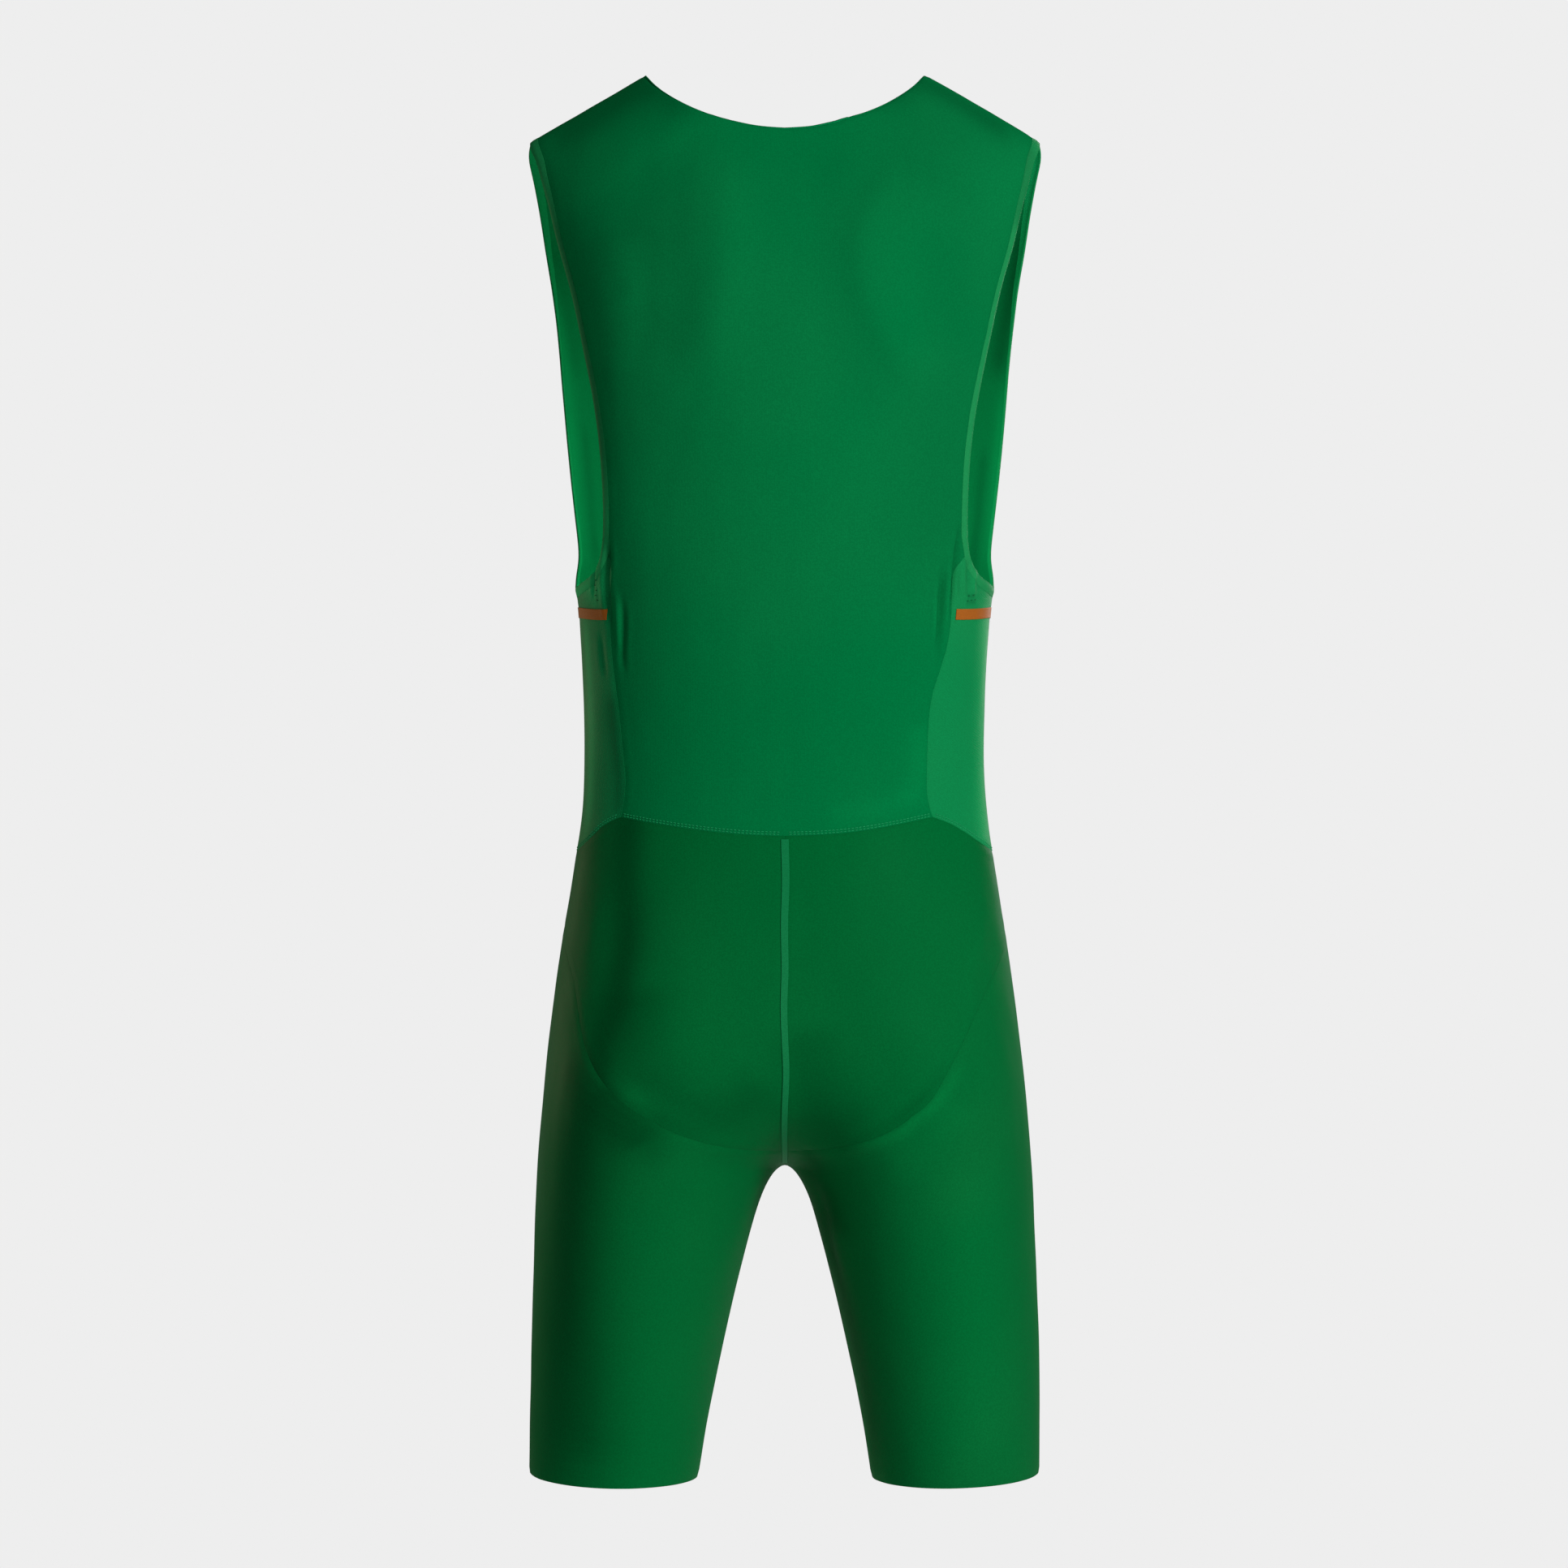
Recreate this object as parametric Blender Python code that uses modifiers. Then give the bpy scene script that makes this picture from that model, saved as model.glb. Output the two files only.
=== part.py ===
"""Track and field bodysuit: a sleeveless top sewn to short legs, hollow and filled out as if worn.

Lengths are in millimetres until a mesh is made. The origin is midway between the two points where
the shoulder seams meet the neckline, +Z is up, and the wearer faces -Y. A place on the garment is
a pair (t, z): z is the height and t runs round one half of the body at that height, 0 at the centre
back, 1 at the side line, 2 at the centre front. Below the crotch 0 and 2 are both the inner leg.
"""

import functools
import math

import bmesh
import bpy
import numpy as np
from mathutils import Vector

MM = 0.001
SAME_POINT = 0.00001

# Cloth and seams
WALL = 1.2
BAND_WALL = 1.8
BAND_WIDTH = 7.0
TAPE_WALL = 0.8
SEAM_GAP = 0.3

# Shoulders and neck
NECK_HALF_WIDTH = 99.0
SHOULDER_TIP_X = 180.4
SHOULDER_TIP_Z = -46.3
BACK_SHOULDER_ROUNDING = 70.0
FRONT_SHOULDER_ROUNDING = 85.0

# Crotch, legs and seat
CROTCH_Z = -770.0
CROTCH_ROUNDING = 20.0
LEGS_BEGIN_Z = -520.0
CROTCH_SLOPE = 0.35
CROTCH_SPREAD = 0.02
HEM_Z = -989.0
HEM_TILT = 0.03
HEM_MIDDLE_X = 120.0

# Points from the crest of a half ring to either end, points along smooth lines
RING_POINTS = 120
LINE_POINTS = 240
LONG_LINE_POINTS = 800

# Steps in t and z used to measure the surface, longest steps towards a wanted point and their count
SMALL_T = 0.004
SMALL_Z = 0.3
LONGEST_T = 0.03
LONGEST_Z = 4.0
APPROACHES = 8

# Slight flare of the side seam just below the armhole
FLARE = 2.3
FLARE_Z = -355.0
FLARE_SPREAD = 13.0

# Cross-sections of the body form: a row for each height
BODY_COLUMNS = ("height", "half_width", "side", "back", "front", "back_power", "front_power")
BODY = (
    (20.0, 214.0, 0.0, 50.0, -46.0, 2.10, 2.1),
    (-30.0, 203.0, 0.0, 70.0, -62.0, 2.15, 2.1),
    (-60.0, 194.5, -6.0, 80.0, -72.0, 2.20, 2.1),
    (-100.0, 181.5, -20.0, 94.0, -88.0, 2.25, 2.1),
    (-130.0, 173.3, -28.0, 101.5, -100.0, 2.30, 2.15),
    (-160.0, 166.8, -33.0, 107.0, -110.0, 2.30, 2.2),
    (-220.0, 159.9, -37.0, 112.5, -122.0, 2.30, 2.2),
    (-280.0, 154.6, -33.0, 112.0, -123.0, 2.30, 2.2),
    (-340.0, 149.0, -17.0, 107.0, -116.0, 2.30, 2.2),
    (-400.0, 144.4, -5.0, 100.0, -108.0, 2.30, 2.2),
    (-440.0, 142.1, -1.0, 95.5, -104.5, 2.25, 2.2),
    (-480.0, 141.3, 0.0, 92.5, -102.5, 2.25, 2.2),
    (-520.0, 142.9, 0.0, 93.5, -102.5, 2.25, 2.2),
    (-560.0, 148.1, 0.0, 100.0, -103.5, 2.30, 2.2),
    (-600.0, 154.3, 0.0, 111.0, -104.5, 2.30, 2.2),
    (-650.0, 161.8, 0.0, 122.5, -104.0, 2.30, 2.2),
    (-700.0, 167.8, 0.0, 128.0, -100.5, 2.30, 2.2),
    (-740.0, 171.8, 0.0, 124.0, -96.0, 2.25, 2.2),
    (-770.0, 174.3, 0.0, 115.0, -92.5, 2.20, 2.2),
    (-810.0, 176.3, 0.0, 104.0, -88.5, 2.15, 2.1),
    (-860.0, 178.1, 1.0, 92.0, -83.5, 2.10, 2.1),
    (-920.0, 179.6, 2.0, 80.5, -75.5, 2.05, 2.0),
    (-990.0, 180.0, 3.0, 70.0, -67.0, 2.00, 2.0),
)

# Half of the space between the legs before the crotch is rounded: height and half width
LEG_SPACE = (
    (-770.0, 0.0),
    (-794.0, 7.0),
    (-817.0, 12.0),
    (-863.0, 21.9),
    (-909.0, 31.3),
    (-955.0, 39.6),
    (-990.0, 44.6),
)

# Seam lines and edges on the back: a row for each place, x from the centre and z from the neck
BACK_NECKLINE = ((0.0, -47.5), (17.6, -46.2), (39.0, -41.5), (60.7, -33.7), (80.7, -21.3), (99.0, 0.0))
FRONT_NECKLINE = ((0.0, -92.0), (32.0, -88.0), (60.0, -72.0), (82.0, -40.0), (99.0, 0.0))
ARMHOLE_BACK_EDGE = (
    (180.4, -46.3), (178.8, -54.5), (174.8, -64.0), (170.4, -80.0), (166.0, -96.0), (160.0, -121.6),
    (151.7, -151.3), (145.1, -179.8), (138.8, -209.2), (133.2, -238.1), (129.3, -266.8),
    (127.1, -295.2), (126.6, -320.0), (127.4, -337.0), (130.2, -347.5), (134.8, -354.5), (141.0, -358.8),
)
WAIST_BACK = ((0.0, -536.8), (25.0, -536.0), (48.4, -533.9), (75.0, -529.6), (101.4, -523.4))
WAIST_SIDE = ((101.4, -523.4), (113.0, -526.5), (130.0, -537.0), (145.3, -549.0))
WAIST_FRONT = ((101.4, -523.4), (75.0, -528.4), (48.4, -532.0), (0.0, -534.0))
BACK_SIDE_SEAM = (
    (101.4, -523.4), (101.2, -500.0), (101.6, -478.0), (105.0, -445.0), (109.6, -423.5),
    (113.6, -405.0), (115.7, -385.0), (116.2, -367.0), (118.0, -353.0),
)
SEAT_SEAM = (
    (0.0, -755.0), (28.0, -752.0), (55.0, -745.0), (79.0, -735.0), (100.0, -722.0), (116.0, -706.0),
    (128.5, -686.0), (136.5, -664.0), (143.5, -640.0),
)

# Front edge of the armhole where it shows as the outline of the garment, x and z
ARMHOLE_FRONT_TOP = (
    (167.4, -147.5), (171.2, -124.0), (174.6, -101.0), (178.5, -77.5), (180.8, -66.0), (182.5, -55.5),
    (181.9, -50.0),
)

# Lines that run over the sides, as places (t, z)
ARMHOLE_UNDERARM = (
    (1.0, -360.5), (1.05, -356.5), (1.083, -345.0), (1.085, -328.0), (1.06, -300.0), (1.035, -265.0),
    (1.022, -230.0), (1.026, -200.0), (1.042, -172.0),
)
FRONT_SIDE_SEAM = ((1.43, -490.0), (1.35, -445.0), (1.26, -405.0), (1.18, -375.0))
SEAT_SEAM_AT_SIDE = ((0.88, -612.0), (1.0, -598.0))
TOP_OF_BACK_SIDE_SEAM_Z = -343.0
TOP_OF_FRONT_SIDE_SEAM_Z = -352.0

# Orange tape across each side panel and the tape over the centre back seam
SIDE_TAPE_TOP_Z = -379.6
SIDE_TAPE_HEIGHT = 7.4
SIDE_TAPE_RISE = 4.0
SIDE_TAPE_END = 0.3
BACK_TAPE_TOP_HALF_WIDTH = 2.7
BACK_TAPE_BOTTOM_HALF_WIDTH = 2.0

# Mesh cells across and along each piece
NECK_COLUMNS = 6
SHOULDER_COLUMNS = 4
NECK_SHARE_OF_WAIST = 0.72
ROWS_BELOW_TAPE = 6
ROWS_ABOVE_TAPE = 2
ARMHOLE_ROWS = 13
SHOULDER_ROWS = 8
HALF_SIDE_COLUMNS = 4
SEAT_ROWS = 9
LOWER_LEG_ROWS = 10
BACK_LEG_ROWS = 7
SIDE_LEG_ROWS = 3
SIDE_KNOT_Z = -735.0
SIDE_FADE = 5
CROTCH_CROWDING = 1.6
NECK_CROWDING = 1.5

GREEN = (0.004, 0.165, 0.052)
DARK_GREEN = (0.003, 0.115, 0.036)
LIGHT_GREEN = (0.030, 0.250, 0.090)
BAND_GREEN = (0.020, 0.200, 0.070)
TAPE_GREEN = (0.016, 0.190, 0.070)
ORANGE = (0.420, 0.090, 0.012)


class SmoothCurve:
    """Natural cubic curve through a few rows, read at any place between them."""

    def __init__(self, places, values):
        order = np.argsort(places)
        self.places = np.asarray(places, float)[order]
        self.values = np.asarray(values, float)[order]
        gaps = np.diff(self.places)
        slopes = np.diff(self.values, axis=0) / gaps.reshape((-1,) + (1,) * (self.values.ndim - 1))
        count = len(self.places)
        matrix = np.eye(count)
        bends = np.zeros_like(self.values)
        for i in range(1, count - 1):
            matrix[i, i - 1:i + 2] = gaps[i - 1], 2.0 * (gaps[i - 1] + gaps[i]), gaps[i]
            bends[i] = 6.0 * (slopes[i] - slopes[i - 1])
        self.bends = np.linalg.solve(matrix, bends)

    def __call__(self, place):
        k = int(np.clip(np.searchsorted(self.places, place) - 1, 0, len(self.places) - 2))
        gap = self.places[k + 1] - self.places[k]
        b = (place - self.places[k]) / gap
        a = 1.0 - b
        bend = (a ** 3 - a) * self.bends[k] + (b ** 3 - b) * self.bends[k + 1]
        return a * self.values[k] + b * self.values[k + 1] + bend * gap * gap / 6.0


BODY_CURVE = SmoothCurve([row[0] for row in BODY], [row[1:] for row in BODY])
LEG_SPACE_CURVE = SmoothCurve([row[0] for row in LEG_SPACE], [row[1] for row in LEG_SPACE])


def smooth_step(x):
    x = min(max(x, 0.0), 1.0)
    return x * x * (3.0 - 2.0 * x)


def section(z):
    """Half width, side, depths, powers, leg centre, inner leg, rounding and inner share of t at z."""
    size = dict(zip(BODY_COLUMNS[1:], map(float, BODY_CURVE(z))))
    half_width = size["half_width"] + FLARE * math.exp(-((z - FLARE_Z) / FLARE_SPREAD) ** 2)
    share = smooth_step((LEGS_BEGIN_Z - z) / (LEGS_BEGIN_Z - CROTCH_Z))
    rounding = CROTCH_ROUNDING * share
    outer = math.sqrt(half_width ** 2 + rounding ** 2) - rounding
    above = z - CROTCH_Z
    inner = -(CROTCH_SLOPE * above + CROTCH_SPREAD * above ** 2) if above > 0.0 else LEG_SPACE_CURVE(z)
    middle = 0.5 * outer * share if above > 0.0 else 0.5 * (outer + inner)
    depths = (size["back"], size["front"])
    powers = (size["back_power"], size["front_power"])
    return outer, size["side"], depths, powers, middle, inner, rounding, 0.5 * share


@functools.lru_cache(maxsize=None)
def half_ring(z, front):
    """Points of the back or front half of the section at z, from the centre to the side line."""
    outer, side, depths, powers, middle, inner, rounding, inner_share = section(z)
    depth = depths[front]
    power = powers[front]
    turn = np.sin(np.linspace(0.0, 0.5 * math.pi, RING_POINTS))
    x = middle + (outer - middle) * turn
    y = (1.0 - turn ** power).clip(0.0) ** (1.0 / power)
    if middle > 0.0:
        reach = middle - inner
        end = min(middle / reach, 1.0)
        turn = np.sin(np.linspace(math.asin(end), 0.0, RING_POINTS, endpoint=False))
        x = np.concatenate((middle - reach * turn, x))
        y = np.concatenate(((1.0 - turn ** power).clip(0.0) ** (1.0 / power), y))
    x = x.clip(0.0)
    x = np.sqrt(x * x + 2.0 * rounding * x)
    y = side + (depth - side) * y
    lengths = np.concatenate(([0.0], np.cumsum(np.hypot(np.diff(x), np.diff(y)))))
    crest = len(x) - RING_POINTS
    marks = (0.0, lengths[crest], lengths[-1]) if crest else (0.0, lengths[-1])
    return x, y, np.interp(lengths, marks, (0.0, inner_share, 1.0) if crest else (0.0, 1.0))


def shoulder_line(x):
    """Height of the shoulder seam at x, carried on inwards over the neck."""
    fall = -SHOULDER_TIP_Z / (SHOULDER_TIP_X - NECK_HALF_WIDTH)
    return -(x - NECK_HALF_WIDTH) * fall


def surface(t, z):
    """Middle of the cloth at the place (t, z) on the wearer's left half."""
    front = bool(t > 1.0)
    x, y, shares = half_ring(round(float(z), 4), front)
    share = 2.0 - t if front else t
    x = float(np.interp(share, shares, x))
    y = float(np.interp(share, shares, y))
    side = float(BODY_CURVE(z)[1])
    rounding = FRONT_SHOULDER_ROUNDING if front else BACK_SHOULDER_ROUNDING
    below = min(max((shoulder_line(x) - z) / rounding, 0.0), 1.0)
    dome = math.sqrt(1.0 - (1.0 - below) ** 2)
    return Vector((x, side + (y - side) * dome, z))


def place(x, z, front=False):
    """The place (t, z) that lies at distance x from the centre plane."""
    ring_x, _, shares = half_ring(round(float(z), 4), front)
    share = float(np.interp(x, ring_x, shares))
    return (2.0 - share if front else share, z)


def spread(places, count=LINE_POINTS):
    """A smooth line through places, with many points evenly numbered along it."""
    places = [tuple(map(float, p)) for p in places]
    solid = [surface(*p) for p in places]
    lengths = np.concatenate(([0.0], np.cumsum([(b - a).length for a, b in zip(solid, solid[1:])])))
    curve = SmoothCurve(lengths, np.array(places))
    return np.array([curve(s) for s in np.linspace(0.0, lengths[-1], count + 1)])


def straight(start, end, count=LINE_POINTS):
    """A line from start to end that is straight in t and z."""
    steps = np.linspace(0.0, 1.0, count + 1)[:, None]
    return (1.0 - steps) * np.array(start) + steps * np.array(end)


def read(line, marks):
    """Places on a line at fractional point numbers."""
    marks = np.asarray(marks, float)
    numbers = np.arange(len(line))
    return np.stack([np.interp(marks, numbers, line[:, k]) for k in (0, 1)], axis=1)


def even_marks(line, count, first=0.0, last=1.0):
    """Point numbers that divide part of a line into stretches of equal length on the garment."""
    solid = [surface(*p) for p in line]
    lengths = np.concatenate(([0.0], np.cumsum([(b - a).length for a, b in zip(solid, solid[1:])])))
    return np.interp(np.linspace(first, last, count + 1) * lengths[-1], lengths, np.arange(len(line)))


def even(line, count, first=0.0, last=1.0):
    return read(line, even_marks(line, count, first, last))


def height_marks(line, heights):
    """Point numbers where a line that climbs or falls all the way has the given heights."""
    numbers = np.arange(len(line))
    order = np.argsort(line[:, 1])
    return np.interp(heights, line[order, 1], numbers[order])


def armhole_heights(bottom, top):
    """Row heights from bottom to top, closer together where the cloth turns over the shoulder."""
    turns = np.linspace(0.0, 0.5 * math.pi, SHOULDER_ROWS + 1)
    crown = top - BACK_SHOULDER_ROUNDING * (1.0 - np.cos(turns))
    wall = np.linspace(bottom, crown[-1], ARMHOLE_ROWS + 1)
    return np.concatenate((wall, crown[::-1][1:]))


def directions(t, z):
    """Rates at which the surface moves with t and with z."""
    across = (surface(t + SMALL_T, z) - surface(t - SMALL_T, z)) / (2.0 * SMALL_T)
    upward = (surface(t, z + SMALL_Z) - surface(t, z - SMALL_Z)) / (2.0 * SMALL_Z)
    return across, upward


def move_inward(line, start, end, width):
    """The line at the given width inside an edge, between two known end places."""
    inner = [np.array(start, float)]
    for before, spot, after in zip(line, line[1:-1], line[2:]):
        along = (surface(*after) - surface(*before)).normalized()
        across, upward = directions(*spot)
        outward = upward.cross(across).normalized()
        aim = surface(*spot) + outward.cross(along) * width
        for _ in range(APPROACHES):
            short = aim - surface(*spot)
            across, upward = directions(*spot)
            gram = [[across @ across, across @ upward], [across @ upward, upward @ upward]]
            step = np.linalg.solve(gram, [across @ short, upward @ short])
            spot = spot + np.clip(step, (-LONGEST_T, -LONGEST_Z), (LONGEST_T, LONGEST_Z))
        inner.append(spot)
    inner.append(np.array(end, float))
    return np.array(inner)


def climb(line):
    """How far up each point of a rising line is, from 0 to 1."""
    return (line[:, 1] - line[0, 1]) / (line[-1, 1] - line[0, 1])


def shares_across(line):
    """How far across each point of a line is, from 0 to 1."""
    return (line[:, 0] - line[0, 0]) / (line[-1, 0] - line[0, 0])


def patch(bottom, top, left, right, knot=None):
    """Rows of places that fill the cloth between four lines, rows from bottom to top.

    Each row rises smoothly from its height on the left line to that on the right line. With a knot,
    the rows crowd at that row only near the sides, and lie evenly between.
    """
    left_climb, right_climb = climb(left), climb(right)
    shares = 0.5 * (shares_across(bottom) + shares_across(top))
    grid = []
    for j in range(len(left)):
        row = []
        for low, high, s in zip(bottom, top, shares):
            v = (1 - s) * left_climb[j] + s * right_climb[j]
            if knot:
                knot_z = left[knot, 1] + (right[knot, 1] - left[knot, 1]) * smooth_step(s)
                v = relaxed_climb(j, s, knot, (knot_z - low[1]) / (high[1] - low[1]), left_climb, right_climb)
            t, z = (1 - v) * low + v * high
            t += (1 - s) * (np.interp(v, left_climb, left[:, 0]) - (1 - v) * bottom[0, 0] - v * top[0, 0])
            t += s * (np.interp(v, right_climb, right[:, 0]) - (1 - v) * bottom[-1, 0] - v * top[-1, 0])
            row.append((t, z))
        grid.append(row)
    return grid


def relaxed_climb(j, s, knot, knot_climb, left_climb, right_climb):
    """Climb of row j at s across, even below and above the knot row except near the sides."""

    def even_climb(climb_at_knot):
        if j <= knot:
            return climb_at_knot * j / knot
        return climb_at_knot + (1.0 - climb_at_knot) * (j - knot) / (len(left_climb) - 1 - knot)

    return (even_climb(knot_climb)
            + (1 - s) ** SIDE_FADE * (left_climb[j] - even_climb(left_climb[knot]))
            + s ** SIDE_FADE * (right_climb[j] - even_climb(right_climb[knot])))


def on_mirror_plane(vert):
    return abs(vert.co.x) < 0.01 * SAME_POINT


def inset_edges(bm, distance, half_wall, whole):
    """Draws the open edges of a sheet back by a distance within its surface.

    A sheet that is mirrored to a whole keeps its edge on the mirror plane. A sheet of one side keeps
    both faces of its wall clear of that plane.
    """
    for vert in bm.verts:
        if not whole and on_mirror_plane(vert):
            vert.co.x = abs(vert.normal.x) * half_wall
    shifts = {}
    for vert in bm.verts:
        ways = []
        for edge in vert.link_edges:
            if not edge.is_boundary or (whole and all(on_mirror_plane(end) for end in edge.verts)):
                continue
            loop = edge.link_loops[0]
            along = loop.link_loop_next.vert.co - loop.vert.co
            ways.append(loop.face.normal.cross(along).normalized())
        if len(ways) == 1:
            shifts[vert] = ways[0] * distance
        elif len(ways) == 2:
            shifts[vert] = (ways[0] + ways[1]) * distance / max(1.0 + ways[0].dot(ways[1]), 0.25)
    for vert, shift in shifts.items():
        if whole and on_mirror_plane(vert):
            shift.x = 0.0
        vert.co += shift


def raise_sheet(bm, distance, whole):
    """Moves a sheet out along its normals, so that it lies on another."""
    for vert, normal in [(vert, vert.normal.copy()) for vert in bm.verts]:
        if whole and on_mirror_plane(vert):
            normal.x = 0.0
            normal.normalize()
        vert.co += normal * distance


def cloth_material(name, color, roughness):
    material = bpy.data.materials.new(name)
    material.use_nodes = True
    shader = material.node_tree.nodes["Principled BSDF"]
    shader.inputs["Base Color"].default_value = (*color, 1.0)
    shader.inputs["Roughness"].default_value = roughness
    shader.inputs["Metallic"].default_value = 0.0
    return material


def add_cloth(name, sheets, wall, material, side=1, whole=False, lift=0.0):
    """One piece of cloth from grids of points that share their edges, given its wall by Solidify.

    side is 1 for the wearer's left and -1 for the right, whole mirrors the sheet to both halves.
    """
    bm = bmesh.new()
    for sheet in sheets:
        rows = [[bm.verts.new(point * MM) for point in line] for line in sheet]
        for low, high in zip(rows, rows[1:]):
            for a, b, c, d in zip(low, high, high[1:], low[1:]):
                bm.faces.new((a, b, c, d))
    bmesh.ops.remove_doubles(bm, verts=bm.verts, dist=SAME_POINT)
    bm.normal_update()
    raise_sheet(bm, lift * MM, whole)
    inset_edges(bm, 0.5 * SEAM_GAP * MM, 0.5 * wall * MM, whole)
    if side < 0:
        for vert in bm.verts:
            vert.co.x = -vert.co.x
        bmesh.ops.reverse_faces(bm, faces=bm.faces)
    mesh = bpy.data.meshes.new(name)
    bm.to_mesh(mesh)
    bm.free()
    mesh.shade_smooth()
    mesh.materials.append(material)
    piece = bpy.data.objects.new(name, mesh)
    PARTS.objects.link(piece)
    piece.parent = ROOT
    if whole:
        mirror = piece.modifiers.new("both halves", "MIRROR")
        mirror.use_axis = (True, False, False)
        mirror.merge_threshold = SAME_POINT
    solidify = piece.modifiers.new("wall", "SOLIDIFY")
    solidify.thickness = wall * MM
    solidify.offset = 0.0
    return piece


def armhole_lines():
    """Outer edge of the armhole and the seam of its band, from the back shoulder round to the front."""
    back = [place(x, z) for x, z in ARMHOLE_BACK_EDGE]
    front_tip = place(SHOULDER_TIP_X, SHOULDER_TIP_Z, front=True)
    front_top = [place(x, z, front=True) for x, z in ARMHOLE_FRONT_TOP]
    outer = spread(back + list(ARMHOLE_UNDERARM) + front_top + [front_tip])
    slope = math.hypot(SHOULDER_TIP_X - NECK_HALF_WIDTH, SHOULDER_TIP_Z)
    inner_x = SHOULDER_TIP_X - BAND_WIDTH * (SHOULDER_TIP_X - NECK_HALF_WIDTH) / slope
    start = place(inner_x, shoulder_line(inner_x))
    end = place(inner_x, shoulder_line(inner_x), front=True)
    return outer, move_inward(outer, start, end, BAND_WIDTH)


def hem_line():
    """The hem of one leg, from the inner leg round the back to the inner leg again."""
    line = []
    for t in np.linspace(0.0, 2.0, LINE_POINTS + 1):
        x = surface(t, HEM_Z).x
        line.append((t, HEM_Z + HEM_TILT * (x - HEM_MIDDLE_X)))
    return np.array(line)


def shoulder_seam(outer_place, front):
    """Places along the shoulder seam from the neck to the band."""
    far = surface(*outer_place).x
    steps = np.linspace(NECK_HALF_WIDTH, far, SHOULDER_COLUMNS + 1)
    return np.array([place(x, shoulder_line(x), front) for x in steps])


def crowded(line, count, power):
    """Places along a line, closer together towards its first end."""
    marks = even_marks(line, LINE_POINTS)
    shares = np.linspace(0.0, 1.0, LINE_POINTS + 1)
    return read(line, np.interp(np.linspace(0.0, 1.0, count + 1) ** power, shares, marks))


def armhole_seams():
    """Band seam beside the back, under the arm and beside the front, and the grid of the band."""
    outer, inner = armhole_lines()
    half = len(inner) // 2
    lowest = half + int(np.argmin(inner[half:, 1]))
    top_z = inner[0][1]
    back_marks = height_marks(inner[:half], armhole_heights(TOP_OF_BACK_SIDE_SEAM_Z, top_z))
    front_marks = lowest + height_marks(
        inner[lowest:], armhole_heights(TOP_OF_FRONT_SIDE_SEAM_Z, top_z))
    under_numbers = np.linspace(back_marks[0], front_marks[0], LINE_POINTS + 1)
    under_steps = even_marks(read(inner, under_numbers), 2 * HALF_SIDE_COLUMNS)
    under_marks = np.interp(under_steps, np.arange(LINE_POINTS + 1), under_numbers)
    band_marks = np.concatenate((back_marks[::-1], under_marks[1:], front_marks[1:]))
    seam, edge = read(inner, band_marks), read(outer, band_marks)
    middle = 0.5 * (seam + edge)
    middle_x = 0.5 * (surface(*seam[0]).x + SHOULDER_TIP_X)
    middle[0] = place(middle_x, shoulder_line(middle_x))
    middle[-1] = place(middle_x, shoulder_line(middle_x), front=True)
    band = [seam, middle, edge]
    return read(inner, back_marks), read(inner, under_marks), read(inner, front_marks), band


def centre_rows(t, bottom, top):
    """Row heights up the centre line that answer the rows beside the side seam and the armhole."""
    middle = TOP_OF_BACK_SIDE_SEAM_Z
    side_rows = ROWS_BELOW_TAPE + 1 + ROWS_ABOVE_TAPE
    heights = np.concatenate((np.linspace(bottom, middle, side_rows + 1), armhole_heights(middle, top)[1:]))
    return np.array([(t, z) for z in heights])


def waist_lines():
    """The waist seam across the back, round the side in two halves, and across the front."""
    back = spread([place(*p) for p in WAIST_BACK])
    back = np.concatenate((even(back, NECK_COLUMNS, 0.0, NECK_SHARE_OF_WAIST),
                           even(back, SHOULDER_COLUMNS, NECK_SHARE_OF_WAIST, 1.0)[1:]))
    side = [place(*p) for p in WAIST_SIDE[:-1]]
    low = (1.0, WAIST_SIDE[-1][1])
    far_side = [place(*p, front=True) for p in WAIST_SIDE[:-1]]
    round_side = spread(side + [low] + far_side[::-1])
    middle = int(np.argmin(np.abs(round_side[:, 0] - 1.0)))
    round_side[middle] = low
    side_back = even(round_side[:middle + 1], HALF_SIDE_COLUMNS)
    side_front = even(round_side[middle:], HALF_SIDE_COLUMNS)
    front = spread([place(*p, front=True) for p in WAIST_FRONT])
    share = 1.0 - NECK_SHARE_OF_WAIST
    front = np.concatenate((even(front, SHOULDER_COLUMNS, 0.0, share),
                            even(front, NECK_COLUMNS, share, 1.0)[1:]))
    return back, side_back, side_front, front


def add_first_place(line, half_width):
    """The line with one more place near its start, at the half width of the centre back tape."""
    share = half_width / surface(*line[1]).x
    extra = (1.0 - share) * line[0] + share * line[1]
    return np.concatenate((line[:1], [extra], line[1:]))


def seam_beside_tape(line, rise):
    """Places on a side seam: even rows below the orange tape, the two edges of the tape, rows above."""
    low, high = height_marks(line, (SIDE_TAPE_TOP_Z - SIDE_TAPE_HEIGHT + rise, SIDE_TAPE_TOP_Z + rise))
    below = np.linspace(0.0, low, ROWS_BELOW_TAPE + 1)
    above = np.linspace(high, len(line) - 1, ROWS_ABOVE_TAPE + 1)
    return read(line, np.concatenate((below, above)))


def tape_edge(start, end, shares):
    """A line across the side panel, level at the back and rising to its front end at the side line."""
    line = []
    for t in start[0] + shares * (end[0] - start[0]):
        line.append((t, start[1] + (end[1] - start[1]) * smooth_step((t - start[0]) / (1.0 - start[0]))))
    return np.array(line)


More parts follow.
